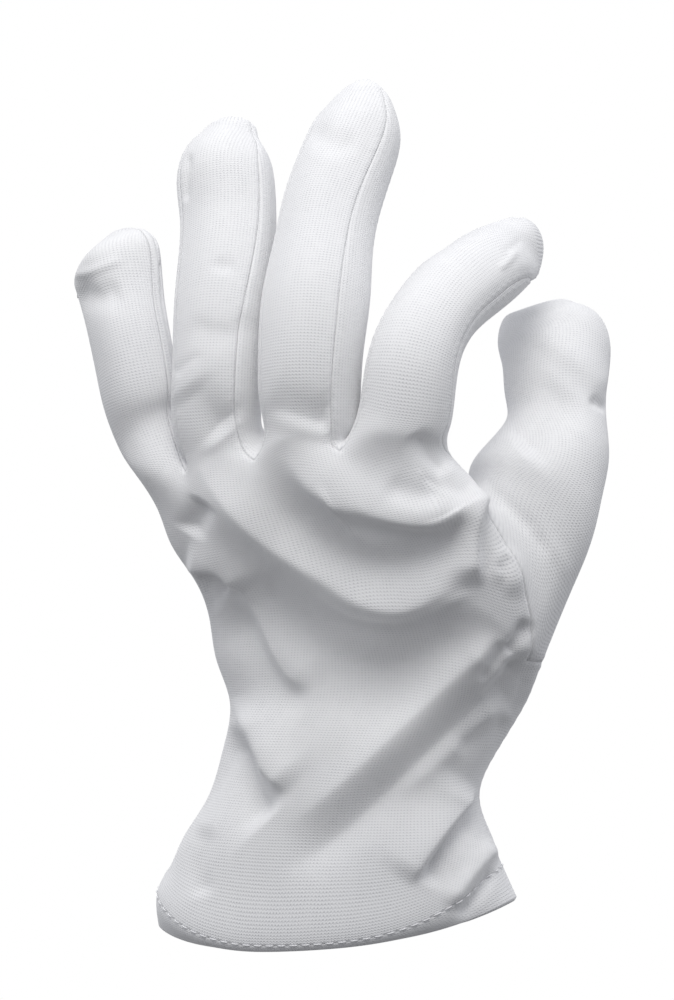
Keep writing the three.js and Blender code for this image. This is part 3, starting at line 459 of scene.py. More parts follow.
def build_hand(cage):
    """The hand from the wrist opening to the roots of the fingers, with the thumb's hole left open."""
    names = list(FINGERS)
    rings = [[cage.add(place, "hand") for place in hand_ring(row)] for row in SECTIONS]
    bases = [station_ring(FINGERS[n][0], UPRIGHT, finger_angles(FINGERS[n][0].seam)) for n in names]
    top = [None] * len(HAND_ANGLES)
    for i, base in enumerate(bases):
        top[2 + 2 * i] = cage.add(base[2], "hand")
        top[18 - 2 * i] = cage.add(base[6], "hand")
    for column, finger, k in ((0, 0, 0), (1, 0, 1), (19, 0, 7), (9, 3, 3), (10, 3, 4), (11, 3, 5)):
        top[column] = cage.add(bases[finger][k], "hand")
    forks = []
    for i in range(3):
        near, far = FINGERS[names[i]][0], FINGERS[names[i + 1]][0]
        top[3 + 2 * i] = cage.add(fork_place(near, far, FORK_DEPTH, FORK_RISE_BACK), "hand")
        forks.append(cage.add(fork_place(near, far, 0, FORK_RISE_MIDDLE), "hand"))
        top[17 - 2 * i] = cage.add(fork_place(near, far, -FORK_DEPTH, FORK_RISE_PALM), "hand")
    rings.append(top)
    cloth = []
    height = 0.0
    for level, ring in enumerate(rings):
        places = cage.places(ring)
        if level > 0:
            height += np.linalg.norm(places - cage.places(rings[level - 1]), axis=1).mean()
        middle_back = steps_round(places)[:5].sum()
        strips = strips_from(places, 0, -middle_back)
        cloth.append([((a, height), (b, height)) for a, b in strips])
    for level in range(len(rings) - 1):
        def panel_of(k):
            column = k >= THUMB_HOLE["palm_column"] or k < THUMB_HOLE["back_column"]
            if column and THUMB_HOLE["first"] <= level < THUMB_HOLE["last"]:
                return None
            if level == 0:
                return "cuff_hem"
            return "back_panel" if k < SIDE_SEAM else "palm_panel"

        cage.band(rings[level], rings[level + 1], panel_of, cloth[level], cloth[level + 1])
    starts = []
    for i in range(4):
        left = [top[3 + 2 * i], forks[i], top[17 - 2 * i]] if i < 3 else top[9:12]
        right = [top[19 - 2 * i], forks[i - 1], top[1 + 2 * i]] if i > 0 else [top[19], top[0], top[1]]
        starts.append([right[1], right[2], top[2 + 2 * i], *left, top[18 - 2 * i], right[0]])
    back_at = [cloth[-1][2 + 2 * i][0] for i in range(4)]
    palm_at = [cloth[-1][18 - 2 * i][0] for i in range(4)]
    return rings, starts, list(zip(back_at, palm_at))


def finger_panels(to_thumb, to_little):
    """The panel of each strip round a finger, which may lack a side strip."""
    near, far = to_thumb or "back_panel", to_little or "back_panel"
    return [
        near, "back_panel", "back_panel", far,
        to_little or "palm_panel", "palm_panel", "palm_panel", to_thumb or "palm_panel",
    ]


def finger_cloth(places, panels, back_at, palm_at, height):
    """Cloth places of the strips of one ring round a finger, height above the ring at its root."""
    steps = steps_round(places)
    back = {k: back_at[0] + (steps[2:k].sum() if k > 2 else -steps[k:2].sum()) for k in range(5)}
    palm = {k: palm_at[0] + (steps[6:k].sum() if k > 6 else -steps[k:6].sum()) for k in range(4, 9)}
    side = {-1: -steps[7], 0: 0.0, 1: steps[0], 3: -steps[3], 4: 0.0, 5: steps[4]}
    strips = []
    for k, panel in enumerate(panels):
        if panel == "back_panel":
            along, first, rise = back, k, back_at[1] + height
        elif panel == "palm_panel":
            along, first, rise = palm, k, palm_at[1] + height
        else:
            along, first, rise = side, -1 if k == 7 else k, height if k in (3, 4) else -height
        strips.append(((along[first], rise), (along[first + 1], rise)))
    return strips


def build_finger(cage, name, start, panels, cloth_at):
    """One finger from the ring at its root to its closed tip."""
    rows = FINGERS[name]
    lower, height = start, 0.0
    low_cloth = finger_cloth(cage.places(start), panels, *cloth_at, height)
    for i in range(1, len(rows) - 1):
        ring = station_ring(rows[i], axis_at(rows, i), finger_angles(rows[i].seam))
        height += math.dist(rows[i][:3], rows[i - 1][:3])
        upper = [cage.add(place, name) for place in ring]
        high_cloth = finger_cloth(ring, panels, *cloth_at, height)
        cage.band(lower, upper, lambda k: panels[k], low_cloth, high_cloth)
        lower, low_cloth = upper, high_cloth
    end = rows[-1]
    tip = cage.add((end.x, end.y, end.z), name)
    height += math.dist(end[:3], rows[-2][:3])
    faces = ["back_panel"] * 4 + ["palm_panel"] * 4
    cap_cloth = finger_cloth(cage.places(lower), faces, *cloth_at, height)
    for a, panel, (u, v) in zip((0, 2, 4, 6), faces[::2], (cloth_at[0],) * 2 + (cloth_at[1],) * 2):
        c = (a + 2) % 8
        cloth = [cap_cloth[a][0], (u, v + height), cap_cloth[a + 1][1], cap_cloth[a][1]]
        cage.face([lower[a], tip, lower[c], lower[a + 1]], panel, cloth)


def build_thumb(cage, rings):
    """The thumb from its hole to the cap, which closes its last ring with a ridge."""
    first, last = THUMB_HOLE["first"], THUMB_HOLE["last"]
    palm, back = THUMB_HOLE["palm_column"], THUMB_HOLE["back_column"]
    lower = [rings[first][0]]
    lower += [rings[level][back] for level in range(first, last + 1)]
    lower += [rings[last][0]]
    lower += [rings[level][palm] for level in range(last, first - 1, -1)]
    stations = [station_ring(row, axis_at(THUMB, i), THUMB_ANGLES) for i, row in enumerate(THUMB)]
    drop = np.linalg.norm(cage.places(lower) - stations[0], axis=1).mean()
    low_cloth = [((a, -drop), (b, -drop)) for a, b in strips_from(stations[0], THUMB_SEAM, 0)]
    height = 0.0
    for i, ring in enumerate(stations):
        if i > 0:
            height += math.dist(THUMB[i][:3], THUMB[i - 1][:3])
        upper = [cage.add(place, "thumb") for place in ring]
        high_cloth = [((a, height), (b, height)) for a, b in strips_from(ring, THUMB_SEAM, 0)]
        cage.band(lower, upper, lambda k: "thumb", low_cloth, high_cloth)
        lower, low_cloth = upper, high_cloth
    a, b, c, d, e, f, g, h, i, j = lower
    middle = cage.places(lower).mean(0)
    tips = []
    for near, far in ((b, j), (e, g)):
        side = (cage.points[near] + cage.points[far]) / 2
        place = side + THUMB_TIP_INSET * (middle - side) + np.array([0, 0, THUMB_TIP_RISE])
        tips.append(cage.add(place, "thumb"))
    right_tip, left_tip = tips
    # The cloth of the cap is laid flat from above.
    flat = {corner: tuple(cage.points[corner][:2]) for corner in (*lower, right_tip, left_tip)}
    for corners in (
        [a, right_tip, c, b],
        [c, right_tip, left_tip, d],
        [d, left_tip, f, e],
        [f, left_tip, h, g],
        [h, left_tip, right_tip, i],
        [i, right_tip, a, j],
    ):
        cage.face(corners, "thumb", [flat[corner] for corner in corners])


def build_cage():
    """The whole coarse net, with the web by the thumb drawn to its place."""
    cage = Cage()
    rings, starts, cloth_at = build_hand(cage)
    sides = PANELS[2:5]
    joined = [(None, sides[0]), (sides[0], sides[1]), (sides[1], sides[2]), (sides[2], None)]
    for i, name in enumerate(FINGERS):
        build_finger(cage, name, starts[i], finger_panels(*joined[i]), cloth_at[i])
    build_thumb(cage, rings)
    for pull in WEB_PULLS:
        for i, place in enumerate(cage.points):
            far = math.hypot(place[0] - pull.x, place[2] - pull.z) / pull.reach
            share = math.exp(-(far**2)) * smoothstep(place[1], pull.depth, pull.depth + PULL_FADE)
            cage.points[i] = place + share * np.array([pull.right, 0.0, pull.up])
    return cage


def edges_of(faces, count):
    """Edges of a net of four-cornered faces, the edge at each face side, and how many faces each has."""
    after = np.roll(faces, -1, 1)
    keys = np.minimum(faces, after) * count + np.maximum(faces, after)
    found, index, faces_on = np.unique(keys.ravel(), return_inverse=True, return_counts=True)
    return np.stack([found // count, found % count], 1), index.reshape(-1, 4), faces_on


def gather(index, values, count):
    """Sum of values at each index."""
    index = index.ravel()
    return np.stack([np.bincount(index, column, count) for column in values.T], 1)


def refine(points, faces):
    """One round of smooth subdivision, with round borders. Old points keep their numbers."""
    count = len(points)
    edges, edge_at, faces_on = edges_of(faces, count)
    face_points = points[faces].mean(1)
    middles = points[edges].mean(1)
    beside = gather(edge_at, np.repeat(face_points, 4, 0), len(edges))
    inner = faces_on == 2
    edge_points = np.where(inner[:, None], (middles + beside / 2) / 2, middles)
    valence = np.bincount(faces.ravel(), minlength=count)[:, None]
    used = np.maximum(valence, 1)
    round_faces = gather(faces, np.repeat(face_points, 4, 0), count) / used
    ends = edges.T.ravel()
    round_edges = gather(ends, np.tile(middles, (2, 1)), count) / used
    smooth = (round_faces + 2 * round_edges + (valence - 3) * points) / used
    border = edges[~inner].T.ravel()
    on_border = np.bincount(border, minlength=count)[:, None] > 0
    border_sum = gather(border, np.tile(middles[~inner], (2, 1)), count)
    moved = np.where(on_border, points / 2 + border_sum / 4, smooth)
    face_ids = (count + np.arange(len(faces)))[:, None]
    edge_ids = count + len(faces) + edge_at
    finer = [
        np.concatenate([faces[:, [i]], edge_ids[:, [i]], face_ids, edge_ids[:, [(i + 3) % 4]]], 1)
        for i in range(4)
    ]
    return np.concatenate([moved, face_points, edge_points]), np.stack(finer, 1).reshape(-1, 4)


def on_surface(points, faces):
    """Where each point lands on the smooth surface that the net describes."""
    count = len(points)
    edges, _, faces_on = edges_of(faces, count)
    valence = np.maximum(np.bincount(faces.ravel(), minlength=count), 1)[:, None]
    opposite = gather(faces, points[np.roll(faces, -2, 1)].reshape(-1, points.shape[1]), count)
    ends = edges.T.ravel()
    across = gather(ends, points[edges[:, ::-1].T.ravel()], count)
    smooth = (valence**2 * points + 4 * across + opposite) / (valence * (valence + 5))
    border = edges[faces_on == 1]
    on_border = np.bincount(border.T.ravel(), minlength=count)[:, None] > 0
    border_sum = gather(border.T.ravel(), points[border[:, ::-1].T.ravel()], count)
    return np.where(on_border, points * 4 / 6 + border_sum / 6, smooth)


def settle(points, faces):
    """Moves the net until the smooth surface passes through its points as given."""
    moved = points.copy()
    for _ in range(SETTLE_ROUNDS):
        moved += SETTLE_STEP * (points - on_surface(moved, faces))
    return moved


def normals_of(points, faces):
    """The outward direction at each point."""
    a, b, c, d = (points[faces[:, i]] for i in range(4))
    face_normals = np.cross(c - a, d - b)
    normals = gather(faces, np.repeat(face_normals, 4, 0), len(points))
    return normals / np.maximum(np.linalg.norm(normals, axis=1, keepdims=True), 1e-12)


def fold_line(path):
    """Smooth line through the places of a fold path, as many short steps."""
    places = np.array(path, float)
    ends = [2 * places[0] - places[1], *places, 2 * places[-1] - places[-2]]
    line = []
    for i in range(1, len(ends) - 2):
        p0, p1, p2, p3 = (ends[i + k] for k in (-1, 0, 1, 2))
        for t in np.arange(FOLD_STEPS) / FOLD_STEPS:
            line.append(
                0.5 * (2 * p1 + (p2 - p0) * t + (2 * p0 - 5 * p1 + 4 * p2 - p3) * t**2
                       + (3 * p1 - p0 - 3 * p2 + p3) * t**3)
            )
    return np.array([*line, places[-1]])


def near_line(line, x, z):
    """The line's nearest step: how far, 1 if the place is above it or else -1, its share along, its up."""
    best = np.full(len(x), np.inf)
    side = np.ones(len(x))
    share = np.zeros(len(x))
    up = np.zeros((len(x), 2))
    for i, (start, end) in enumerate(zip(line[:-1], line[1:])):
        step = end - start
        length = np.hypot(*step)
        held = np.clip(((x - start[0]) * step[0] + (z - start[1]) * step[1]) / length**2, 0, 1)
        off_x = x - start[0] - held * step[0]
        off_z = z - start[1] - held * step[1]
        distance = np.hypot(off_x, off_z)
        nearer = distance < best
        way = np.array([-step[1], step[0]]) / length
        best[nearer] = distance[nearer]
        side[nearer] = np.where(off_x * way[0] + off_z * way[1] < 0, -1, 1)[nearer]
        share[nearer] = ((i + held) / (len(line) - 1))[nearer]
        up[nearer] = way
    return best, side, share, up


def fold_cloth(points, normals, parts, folds):
    """The points with all folds laid on them."""
    moved = points.copy()
    for fold in folds:
        line = fold_line(fold.path)
        facing = normals[:, 1] if fold.side == "palm" else -normals[:, 1]
        weight = parts[:, PARTS.index(fold.part)] * smoothstep(facing, *FACING)
        reach = FOLD_CUT * max(fold.above, fold.below) * (2 / fold.sharp) ** 2
        seen = CAMERA_DISTANCE / (CAMERA_DISTANCE + points[:, 1])
        x, z = points[:, 0] * seen, EYE_HEIGHT + (points[:, 2] - EYE_HEIGHT) * seen
        near = weight > 0
        near &= (x > line[:, 0].min() - reach) & (x < line[:, 0].max() + reach)
        near &= (z > line[:, 1].min() - reach) & (z < line[:, 1].max() + reach)
        near = np.flatnonzero(near)
        distance, side, share, up = near_line(line, x[near], z[near])
        width = np.where(side > 0, fold.above, fold.below)
        fade = smoothstep(np.minimum(share, 1 - share), 0, FOLD_END_FADE)
        shape = weight[near] * fade * np.exp(-((distance / width) ** fold.sharp))
        height = fold.first + (fold.last - fold.first) * share
        moved[near] += (shape * height)[:, None] * normals[near]
        moved[near, 0] -= shape * fold.lean * up[:, 0]
        moved[near, 2] -= shape * fold.lean * up[:, 1]
    return moved


def new_mesh(name, corners, polygons, material):
    mesh = bpy.data.meshes.new(name)
    mesh.from_pydata(corners, [], polygons)
    mesh.materials.append(material)
    return mesh


def add_object(name, data):
    thing = bpy.data.objects.new(name, data)
    bpy.context.scene.collection.objects.link(thing)
    return thing


def spread(distance, edges, lengths, rounds):
    """Distance along the net from the points where it is zero, for the points within a few steps."""
    for _ in range(rounds):
        for a, b in ((0, 1), (1, 0)):
            reached = distance[edges[:, a]] + lengths
            np.minimum.at(distance, edges[:, b], reached)
    return distance


# The cage, made smooth and fine, and folded.
cage = build_cage()
faces = np.array(cage.faces)
used = np.unique(faces)
renumber = np.full(len(cage.points), -1)
renumber[used] = np.arange(len(used))
faces = renumber[faces]
points = settle(np.array(cage.points)[used], faces)
parts = np.eye(len(PARTS))[np.array(cage.parts)[used]]
panel_of_face = np.array(cage.panels)
net = np.concatenate([points, parts], 1)

# The flat cloth is a net of its own, whose corners are shared only inside one panel.
cloth_keys = {}
cloth_points = []
cloth_faces = []
for corners, panel, cloth in zip(cage.faces, cage.panels, cage.cloth):
    row = []
    for corner, place in zip(corners, cloth):
        key = (corner, panel, round(place[0], 3), round(place[1], 3))
        if key not in cloth_keys:
            cloth_keys[key] = len(cloth_points)
            cloth_points.append(place)
        row.append(cloth_keys[key])
    cloth_faces.append(row)
cloth_points = np.array(cloth_points)
cloth_faces = np.array(cloth_faces)

for level in range(FINE_LEVELS):
    coarser_faces = faces
    net, faces = refine(net, faces)
    cloth_points, cloth_faces = refine(cloth_points, cloth_faces)
net = on_surface(net, faces)
points, parts = net[:, :3], net[:, 3:]
panel_of_face = np.repeat(panel_of_face, 4**FINE_LEVELS)
normals = normals_of(points, faces)
points = fold_cloth(points, normals, parts, LARGE_FOLDS + SMALL_FOLDS)
normals = normals_of(points, faces)

# Seams: the cloth dips into the seam and stands proud beside it in a welt, which the stitches pucker.
SEAM_DIP = 0.1
SEAM_DIP_WIDTH = 0.3
SEAM_WELT = 0.12
SEAM_WELT_PLACE = 1.3
SEAM_WELT_WIDTH = 0.7
SEAM_REACH_ROUNDS = 10
FAR_FROM_SEAM = 99.0
PUCKER = 0.07
PUCKER_LENGTH = 2.6
# How far the seams of the little finger are pulled flat.
FLAT_SEAM = 0.9

edges, edge_at, faces_on = edges_of(faces, len(points))
hem = PANELS.index("cuff_hem")
flat_edges = edge_at.ravel()
flat_panels = np.repeat(panel_of_face, 4)
panel_low = np.full(len(edges), len(PANELS))
panel_high = np.full(len(edges), -1)
np.minimum.at(panel_low, flat_edges, flat_panels)
np.maximum.at(panel_high, flat_edges, flat_panels)
is_seam = (panel_low != panel_high) & (panel_high != hem)
edge_lengths = np.linalg.norm(points[edges[:, 0]] - points[edges[:, 1]], axis=1)
seam_distance = np.full(len(points), FAR_FROM_SEAM)
seam_distance[edges[is_seam].ravel()] = 0.0
seam_distance = spread(seam_distance, edges, edge_lengths, SEAM_REACH_ROUNDS)
cloth_at = np.zeros((len(points), 2))
cloth_at[faces.ravel()] = cloth_points[cloth_faces.ravel()]
pucker = 1 + PUCKER / SEAM_WELT * np.sin(2 * np.pi * (cloth_at[:, 0] + cloth_at[:, 1]) / PUCKER_LENGTH)
seam_height = SEAM_WELT * pucker * np.exp(-(((seam_distance - SEAM_WELT_PLACE) / SEAM_WELT_WIDTH) ** 2))
seam_height -= SEAM_DIP * np.exp(-((seam_distance / SEAM_DIP_WIDTH) ** 2))
seam_height *= 1 - FLAT_SEAM * parts[:, PARTS.index("little")]
points = points + seam_height[:, None] * normals
normals = normals_of(points, faces)

# The material's cloth coordinates are in centimetres of flat cloth.
CLOTH_UNIT = 0.1


def border_of(faces):
    """The border of a set of faces: which corner follows which."""
    starts, ends = faces.ravel(), np.roll(faces, -1, 1).ravel()
    forward = set(zip(starts.tolist(), ends.tolist()))
    return {a: b for a, b in forward if (b, a) not in forward}


def panel_piece(name, material, wall, bulge=0.0):
    """One panel of cloth: a fine outer face, a plainer inner face and the cut edge between them."""
    chosen = panel_of_face == PANELS.index(name)
    outer_faces = faces[chosen]
    inner_faces = coarser_faces[chosen[::4]]
    border = border_of(outer_faces)
    outer_ids = np.unique(outer_faces)
    inner_ids = np.unique(inner_faces)
    place = np.full(len(points), -1)
    place[outer_ids] = np.arange(len(outer_ids))
    inner_place = np.full(len(points), -1)
    inner_place[inner_ids] = len(outer_ids) + np.arange(len(inner_ids))
    # The border is drawn in a little, clear of the neighbouring panels.
    middles = points[outer_faces].mean(1)
    toward = gather(outer_faces, np.repeat(middles, 4, 0), len(points))
    counts = np.bincount(outer_faces.ravel(), minlength=len(points))[:, None]
    ends = np.array(list(border))
    before = {b: a for a, b in border.items()}
    along = points[[border[a] for a in ends]] - points[[before[a] for a in ends]]
    along /= np.linalg.norm(along, axis=1, keepdims=True)
    inward = toward[ends] / counts[ends] - points[ends]
    inward -= (inward * normals[ends]).sum(1, keepdims=True) * normals[ends]
    inward -= (inward * along).sum(1, keepdims=True) * along
    inward /= np.maximum(np.linalg.norm(inward, axis=1, keepdims=True), 1e-9)
    outer = points.copy()
    outer[ends] += inward * SEAM_GAP / 2
    inner = outer - wall * normals
    co = [outer[outer_ids], inner[inner_ids]]
    polygons = place[outer_faces].tolist()
    polygons += inner_place[inner_faces][:, ::-1].tolist()
    smooth = [True] * len(polygons)
    count = len(outer_ids) + len(inner_ids)
    is_coarse = inner_place[ends] >= 0
    coarse = ends[is_coarse]
    rim = {}
    if bulge:
        rim = {a: count + i for i, a in enumerate(coarse)}
        co.append((outer[coarse] + inner[coarse]) / 2 - bulge * inward[is_coarse])
    for a in coarse:
        m = border[a]
        b = border[m]
        if bulge:
            polygons.append([place[b], place[m], place[a], rim[a], rim[b]])
            polygons.append([rim[b], rim[a], inner_place[a], inner_place[b]])
            smooth += [True, True]
        else:
            polygons.append([place[b], place[m], place[a], inner_place[a], inner_place[b]])
            smooth.append(False)
    mesh = new_mesh(name + "_cloth", (np.concatenate(co) * MM).tolist(), polygons, material)
    mesh.polygons.foreach_set("use_smooth", smooth)
    flat = cloth_points[cloth_faces[chosen].ravel()]
    lookup = np.zeros((len(points), 2))
    lookup[outer_faces.ravel()] = flat
    cloth = mesh.uv_layers.new(name="cloth")
    back = np.concatenate([outer_ids, inner_ids, list(rim)]).astype(int)
    loop_vertices = np.zeros(len(mesh.loops), int)
    mesh.loops.foreach_get("vertex_index", loop_vertices)
    uv = lookup[back[loop_vertices]]
    uv[: outer_faces.size] = flat
    cloth.data.foreach_set("uv", (uv * CLOTH_UNIT).astype(np.float32).ravel())
    mesh.validate()
    piece = add_object(name + "_knit", mesh)
    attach(piece, "root")
    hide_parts(name)
    return piece


# Materials. Colours are red, green and blue, and lengths of bumps are in metres.
class Nodes:
    """Short calls for the nodes of a material or of the world."""

    def __init__(self, owner, shader="Principled BSDF"):
        owner.use_nodes = True
        self.tree = owner.node_tree
        self.shader = self.tree.nodes[shader]

    def link(self, value, socket):
        """Sets a socket to a number or a colour, or links it to another node's output."""
        if isinstance(value, (int, float)):
            socket.default_value = value
        elif isinstance(value, tuple):
            socket.default_value = (*value, 1.0)
        else:
            self.tree.links.new(value, socket)

    def shade(self, looks):
        for name, value in looks.items():
            self.link(value, self.shader.inputs[name])

    def add(self, kind, values=(), **settings):
        """A new node with its settings, and with its sockets set or linked."""
        node = self.tree.nodes.new("ShaderNode" + kind)
        for name, value in settings.items():
            setattr(node, name, value)
        for name, value in dict(values).items():
            self.link(value, node.inputs[name])
        return node

    def math(self, operation, *values):
        return self.add("Math", enumerate(values), operation=operation).outputs[0]

    def noise(self, scale, detail=2.0):
        place = self.add("TexCoord").outputs["Object"]
        return self.add("TexNoise", {"Scale": scale, "Detail": detail, "Vector": place}).outputs["Fac"]

    def mix(self, share, a, b):
        return self.add("Mix", {"Factor": share, "A": a, "B": b}, data_type="RGBA").outputs["Result"]

    def bump(self, height, strength, distance):
        node = self.add("Bump", {"Strength": strength, "Distance": distance, "Height": height})
        self.link(node.outputs["Normal"], self.shader.inputs["Normal"])


# Width of a column of stitches and height of a row, in millimetres.
WALE = 0.86
COURSE = 0.68
COTTON = (0.83, 0.831, 0.832)
COTTON_SHADE = (0.79, 0.792, 0.81)
# Colour of the painted shade in the holes between the stitches.
HOLE_PAINTED_SHADE = (0.42, 0.42, 0.46)
# How dark the painted shade in the holes between the stitches is, in single cloth and in the doubled hem.
HOLE_SHADE_STRENGTH = 0.62
HEM_HOLE_SHADE_STRENGTH = 0.5
# How far the yarn wanders, as a share of a stitch, and how the legs of a stitch slant.
YARN_DRIFT = 0.5
LEG_SLANT = 0.5
LEG_HEIGHT = 0.35
HOLE_DEPTH = 1.1
HOLE_LEAST = 0.1
HOLE_SPREAD = 1.3
BLOTCH_STRENGTH = 0.8
FUZZ_HEIGHT = 0.35
KNIT_ROUGHNESS = 0.84
ROUGHNESS_SPREAD = 0.12
# Sizes of the noises, as repeats to a metre.
DRIFT_NOISE = 90.0
HOLE_NOISE = 350.0
BLOTCH_NOISE = 28.0
ROUGHNESS_NOISE = 400.0
FUZZ_NOISE = 1500.0
THREAD = (0.86, 0.86, 0.87)
THREAD_SHADE = (0.78, 0.78, 0.80)
THREAD_TONE_NOISE = 700.0
THREAD_BUMP_NOISE = 2500.0


def knit_material(name, hole_shade_strength):
    """White single knit: columns of stitches with two slanting legs, and a small hole between them that is
    painted dark as shade.
    """
    material = bpy.data.materials.new(name)
    nodes = Nodes(material)
    m = nodes.math
    cloth = nodes.add("UVMap", uv_map="cloth")
    parted = nodes.add("SeparateXYZ", {0: cloth.outputs["UV"]})
    # Yarn wanders a little from its place.
    drift = m("MULTIPLY", m("SUBTRACT", nodes.noise(DRIFT_NOISE), 0.5), YARN_DRIFT)
    u = m("ADD", m("MULTIPLY", parted.outputs[0], 1 / CLOTH_UNIT / WALE), drift)
    v = m("ADD", m("MULTIPLY", parted.outputs[1], 1 / CLOTH_UNIT / COURSE), drift)
    # From 0 at the middle of a column of stitches to 1 at its edge.
    aside = m("MULTIPLY", m("ABSOLUTE", m("SUBTRACT", m("FRACT", u), 0.5)), 2.0)
    slant = m("SUBTRACT", v, m("MULTIPLY", aside, LEG_SLANT))
    leg = m("ADD", m("MULTIPLY", m("COSINE", m("MULTIPLY", slant, 2 * math.pi)), 0.5), 0.5)
    hole = m("MULTIPLY", m("POWER", aside, 2.0), m("POWER", m("SUBTRACT", 1.0, leg), 2.0))
    # Some stitches close their hole and others leave it wider.
    uneven = m("ADD", m("MULTIPLY", nodes.noise(HOLE_NOISE), HOLE_SPREAD), HOLE_LEAST)
    hole = m("MULTIPLY", hole, uneven)
    height = m("SUBTRACT", m("MULTIPLY", leg, LEG_HEIGHT), m("MULTIPLY", hole, HOLE_DEPTH))
    blotch = nodes.noise(BLOTCH_NOISE, 3.0)
    base = nodes.mix(m("MULTIPLY", blotch, BLOTCH_STRENGTH), COTTON, COTTON_SHADE)
    # The holes get painted shade, a bluish grey standing for the darkness seen through the gaps of the
    # knit.
    colour = nodes.mix(m("MULTIPLY", hole, hole_shade_strength), base, HOLE_PAINTED_SHADE)
    rough = m("ADD", m("MULTIPLY", nodes.noise(ROUGHNESS_NOISE), ROUGHNESS_SPREAD), KNIT_ROUGHNESS)
    fuzz = m("MULTIPLY", nodes.noise(FUZZ_NOISE), FUZZ_HEIGHT)
    nodes.shade({
        "Base Color": colour, "Roughness": rough, "Specular IOR Level": 0.18,
        "Sheen Weight": 0.5, "Sheen Roughness": 0.5,
    })
    nodes.bump(m("ADD", height, fuzz), strength=0.55, distance=0.00016)
    return material


def thread_material():
    """Glossier twisted cotton thread."""
    material = bpy.data.materials.new("sewing_thread")
    nodes = Nodes(material)
    tone = nodes.mix(nodes.noise(THREAD_TONE_NOISE), THREAD, THREAD_SHADE)
    nodes.shade({"Base Color": tone, "Roughness": 0.6, "Specular IOR Level": 0.3})
    nodes.bump(nodes.noise(THREAD_BUMP_NOISE), strength=0.4, distance=0.0001)
    return material


knit = knit_material("fine_white_knit", HOLE_SHADE_STRENGTH)
hem_knit = knit_material("double_white_knit", HEM_HOLE_SHADE_STRENGTH)
for panel in PANELS:
    if panel == "cuff_hem":
        piece = panel_piece(panel, hem_knit, HEM_WALL, bulge=HEM_BULGE)
    else:
        piece = panel_piece(panel, knit, WALL)


# Running stitches round the hem.
STITCH_LENGTH = 2.5
STITCH_PITCH = 3.2
STITCH_RADIUS = 0.2
STITCH_SIDES = 6
STITCH_RINGS = 5
# Thickness at the ends as a share of the middle, in radii how high a stitch arches and how deep its ends
# sink, and in millimetres how far ahead its direction is taken.
STITCH_END = 0.35
STITCH_ARCH = 1.6
STITCH_SINK = 0.5
STITCH_AHEAD = 0.2


def along_line(at, lengths, values):
    """The value at a distance along a line."""
    return np.array([np.interp(at, lengths, values[:, k]) for k in range(3)])


def hem_stitches():
    """Short bowed lengths of thread in a row along the upper edge of the hem."""
    hem_faces = faces[panel_of_face == hem]
    body_ids = set(np.unique(faces[panel_of_face != hem]).tolist())
    border = border_of(hem_faces)
    start = next(a for a in border if a in body_ids)
    loop = [start]
    while border[loop[-1]] != start:
        loop.append(border[loop[-1]])
    line = points[loop + [start]]
    out = normals[loop + [start]]
    lengths = np.concatenate([[0], np.cumsum(np.linalg.norm(np.diff(line, axis=0), axis=1))])
    count = int(lengths[-1] // STITCH_PITCH)
    pitch = lengths[-1] / count
    co, polygons = [], []
    for i in range(count):
        first = len(co)
        for ring in range(STITCH_RINGS):
            t = ring / (STITCH_RINGS - 1)
            at = i * pitch + t * STITCH_LENGTH
            centre = along_line(at, lengths, line)
            normal = unit(along_line(at, lengths, out))
            along = unit(along_line(at + STITCH_AHEAD, lengths, line) - centre)
            aside = np.cross(normal, along)
            arch = math.sin(math.pi * t)
            width = STITCH_RADIUS * (STITCH_END + (1 - STITCH_END) * arch**0.5)
            lift = STITCH_RADIUS * (STITCH_ARCH * arch - STITCH_SINK)
            for s in range(STITCH_SIDES):
                angle = 2 * math.pi * s / STITCH_SIDES
                up = normal * (lift + width * math.sin(angle))
                co.append(centre + up + aside * width * math.cos(angle))
        for ring in range(STITCH_RINGS - 1):
            for s in range(STITCH_SIDES):
                a = first + ring * STITCH_SIDES + s
                b = first + ring * STITCH_SIDES + (s + 1) % STITCH_SIDES
                polygons.append([b, a, a + STITCH_SIDES, b + STITCH_SIDES])
        polygons.append([first + s for s in range(STITCH_SIDES)])
        last = first + (STITCH_RINGS - 1) * STITCH_SIDES
        polygons.append([last + s for s in reversed(range(STITCH_SIDES))])
    mesh = new_mesh("hem_stitches", (np.array(co) * MM).tolist(), polygons, thread_material())
    mesh.polygons.foreach_set("use_smooth", [True] * len(polygons))
    piece = add_object("hem_stitches", mesh)
    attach(piece, "root")


hem_stitches()


# Floor, light and camera, in metres. The floor lies far below the glove.
FLOOR_HEIGHT = -1.6
FLOOR_SIZE = 24.0
FLOOR_TONE = 0.9


def stage():
    """A plain pale floor."""
    half, low = FLOOR_SIZE / 2, FLOOR_HEIGHT
    corners = [(-half, -half, low), (half, -half, low), (half, half, low), (-half, half, low)]
    material = bpy.data.materials.new("pale_floor")
    nodes = Nodes(material)
    nodes.shade({
        "Base Color": (FLOOR_TONE,) * 3, "Roughness": 0.9,
        "Emission Color": (1.0, 1.0, 1.0), "Emission Strength": 1.0,
    })
    floor = add_object("floor", new_mesh("floor", corners, [[0, 1, 2, 3]], material))
    floor.visible_diffuse = False
    floor.visible_glossy = False


# Strength of the studio's light at its horizon, and how much is added towards the top and the back.
SKY_MIDDLE = 0.6
SKY_UP = 0.5
SKY_BEHIND = 0.18
SKY_COLOUR = (0.945, 0.958, 1.0)


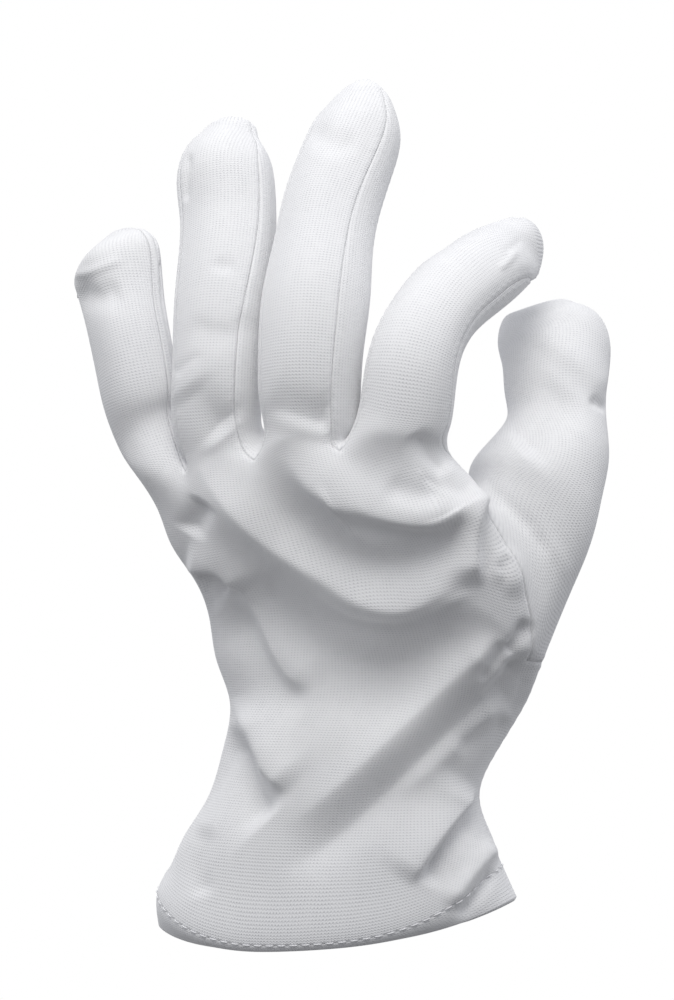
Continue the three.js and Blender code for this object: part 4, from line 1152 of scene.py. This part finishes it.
def world_light():
    """Pale studio: white to look at, and a soft light that is stronger from above and from behind."""
    world = bpy.data.worlds.new("studio")
    bpy.context.scene.world = world
    nodes = Nodes(world, "Background")
    nodes.shade({"Color": (1.0, 1.0, 1.0), "Strength": 1.0})
    place = nodes.add("TexCoord").outputs["Generated"]
    weigh = nodes.add("VectorMath", {0: place}, operation="DOT_PRODUCT")
    weigh.inputs[1].default_value = (0, SKY_BEHIND, SKY_UP)
    strength = nodes.math("ADD", weigh.outputs["Value"], SKY_MIDDLE)
    lit = nodes.add("Background", {"Color": SKY_COLOUR, "Strength": strength}).outputs[0]
    camera_ray = nodes.add("LightPath").outputs["Is Camera Ray"]
    mix = nodes.add("MixShader", {"Fac": camera_ray, 1: lit, 2: nodes.shader.outputs[0]})
    nodes.link(mix.outputs[0], nodes.tree.nodes["World Output"].inputs["Surface"])


KEY_PLACE = (-0.1, -0.6, 0.95)
KEY_TARGET = (0.0, 0.0, 0.11)
KEY_SIZE = 0.7
KEY_WATTS = 5.3
KEY_COLOUR = (1.0, 0.985, 0.96)


def key_light():
    """One soft round light from above and in front, aimed at the middle of the glove."""
    data = bpy.data.lights.new("key", "AREA")
    data.shape = "DISK"
    data.size = KEY_SIZE
    data.energy = KEY_WATTS
    data.color = KEY_COLOUR
    light = add_object("key", data)
    light.location = KEY_PLACE
    way = Vector(KEY_TARGET) - Vector(KEY_PLACE)
    light.rotation_euler = way.to_track_quat("-Z", "Y").to_euler()


SENSOR = 36.0
CAMERA_CLIP = (0.1, 60.0)


def camera():
    """The photograph's view: level, from the front, with the frame as high as the photograph's."""
    data = bpy.data.cameras.new("camera")
    data.sensor_width = SENSOR
    data.lens = SENSOR * CAMERA_DISTANCE / (PICTURE_HEIGHT * MM_PER_PIXEL)
    data.clip_start, data.clip_end = CAMERA_CLIP
    cam = add_object("camera", data)
    cam.location = (VIEW_CENTRE[0] * MM, -CAMERA_DISTANCE * MM, VIEW_CENTRE[1] * MM)
    cam.rotation_euler = (math.radians(90), 0, 0)
    bpy.context.scene.camera = cam


stage()
world_light()
key_light()
camera()
bpy.context.scene.view_settings.view_transform = "Standard"
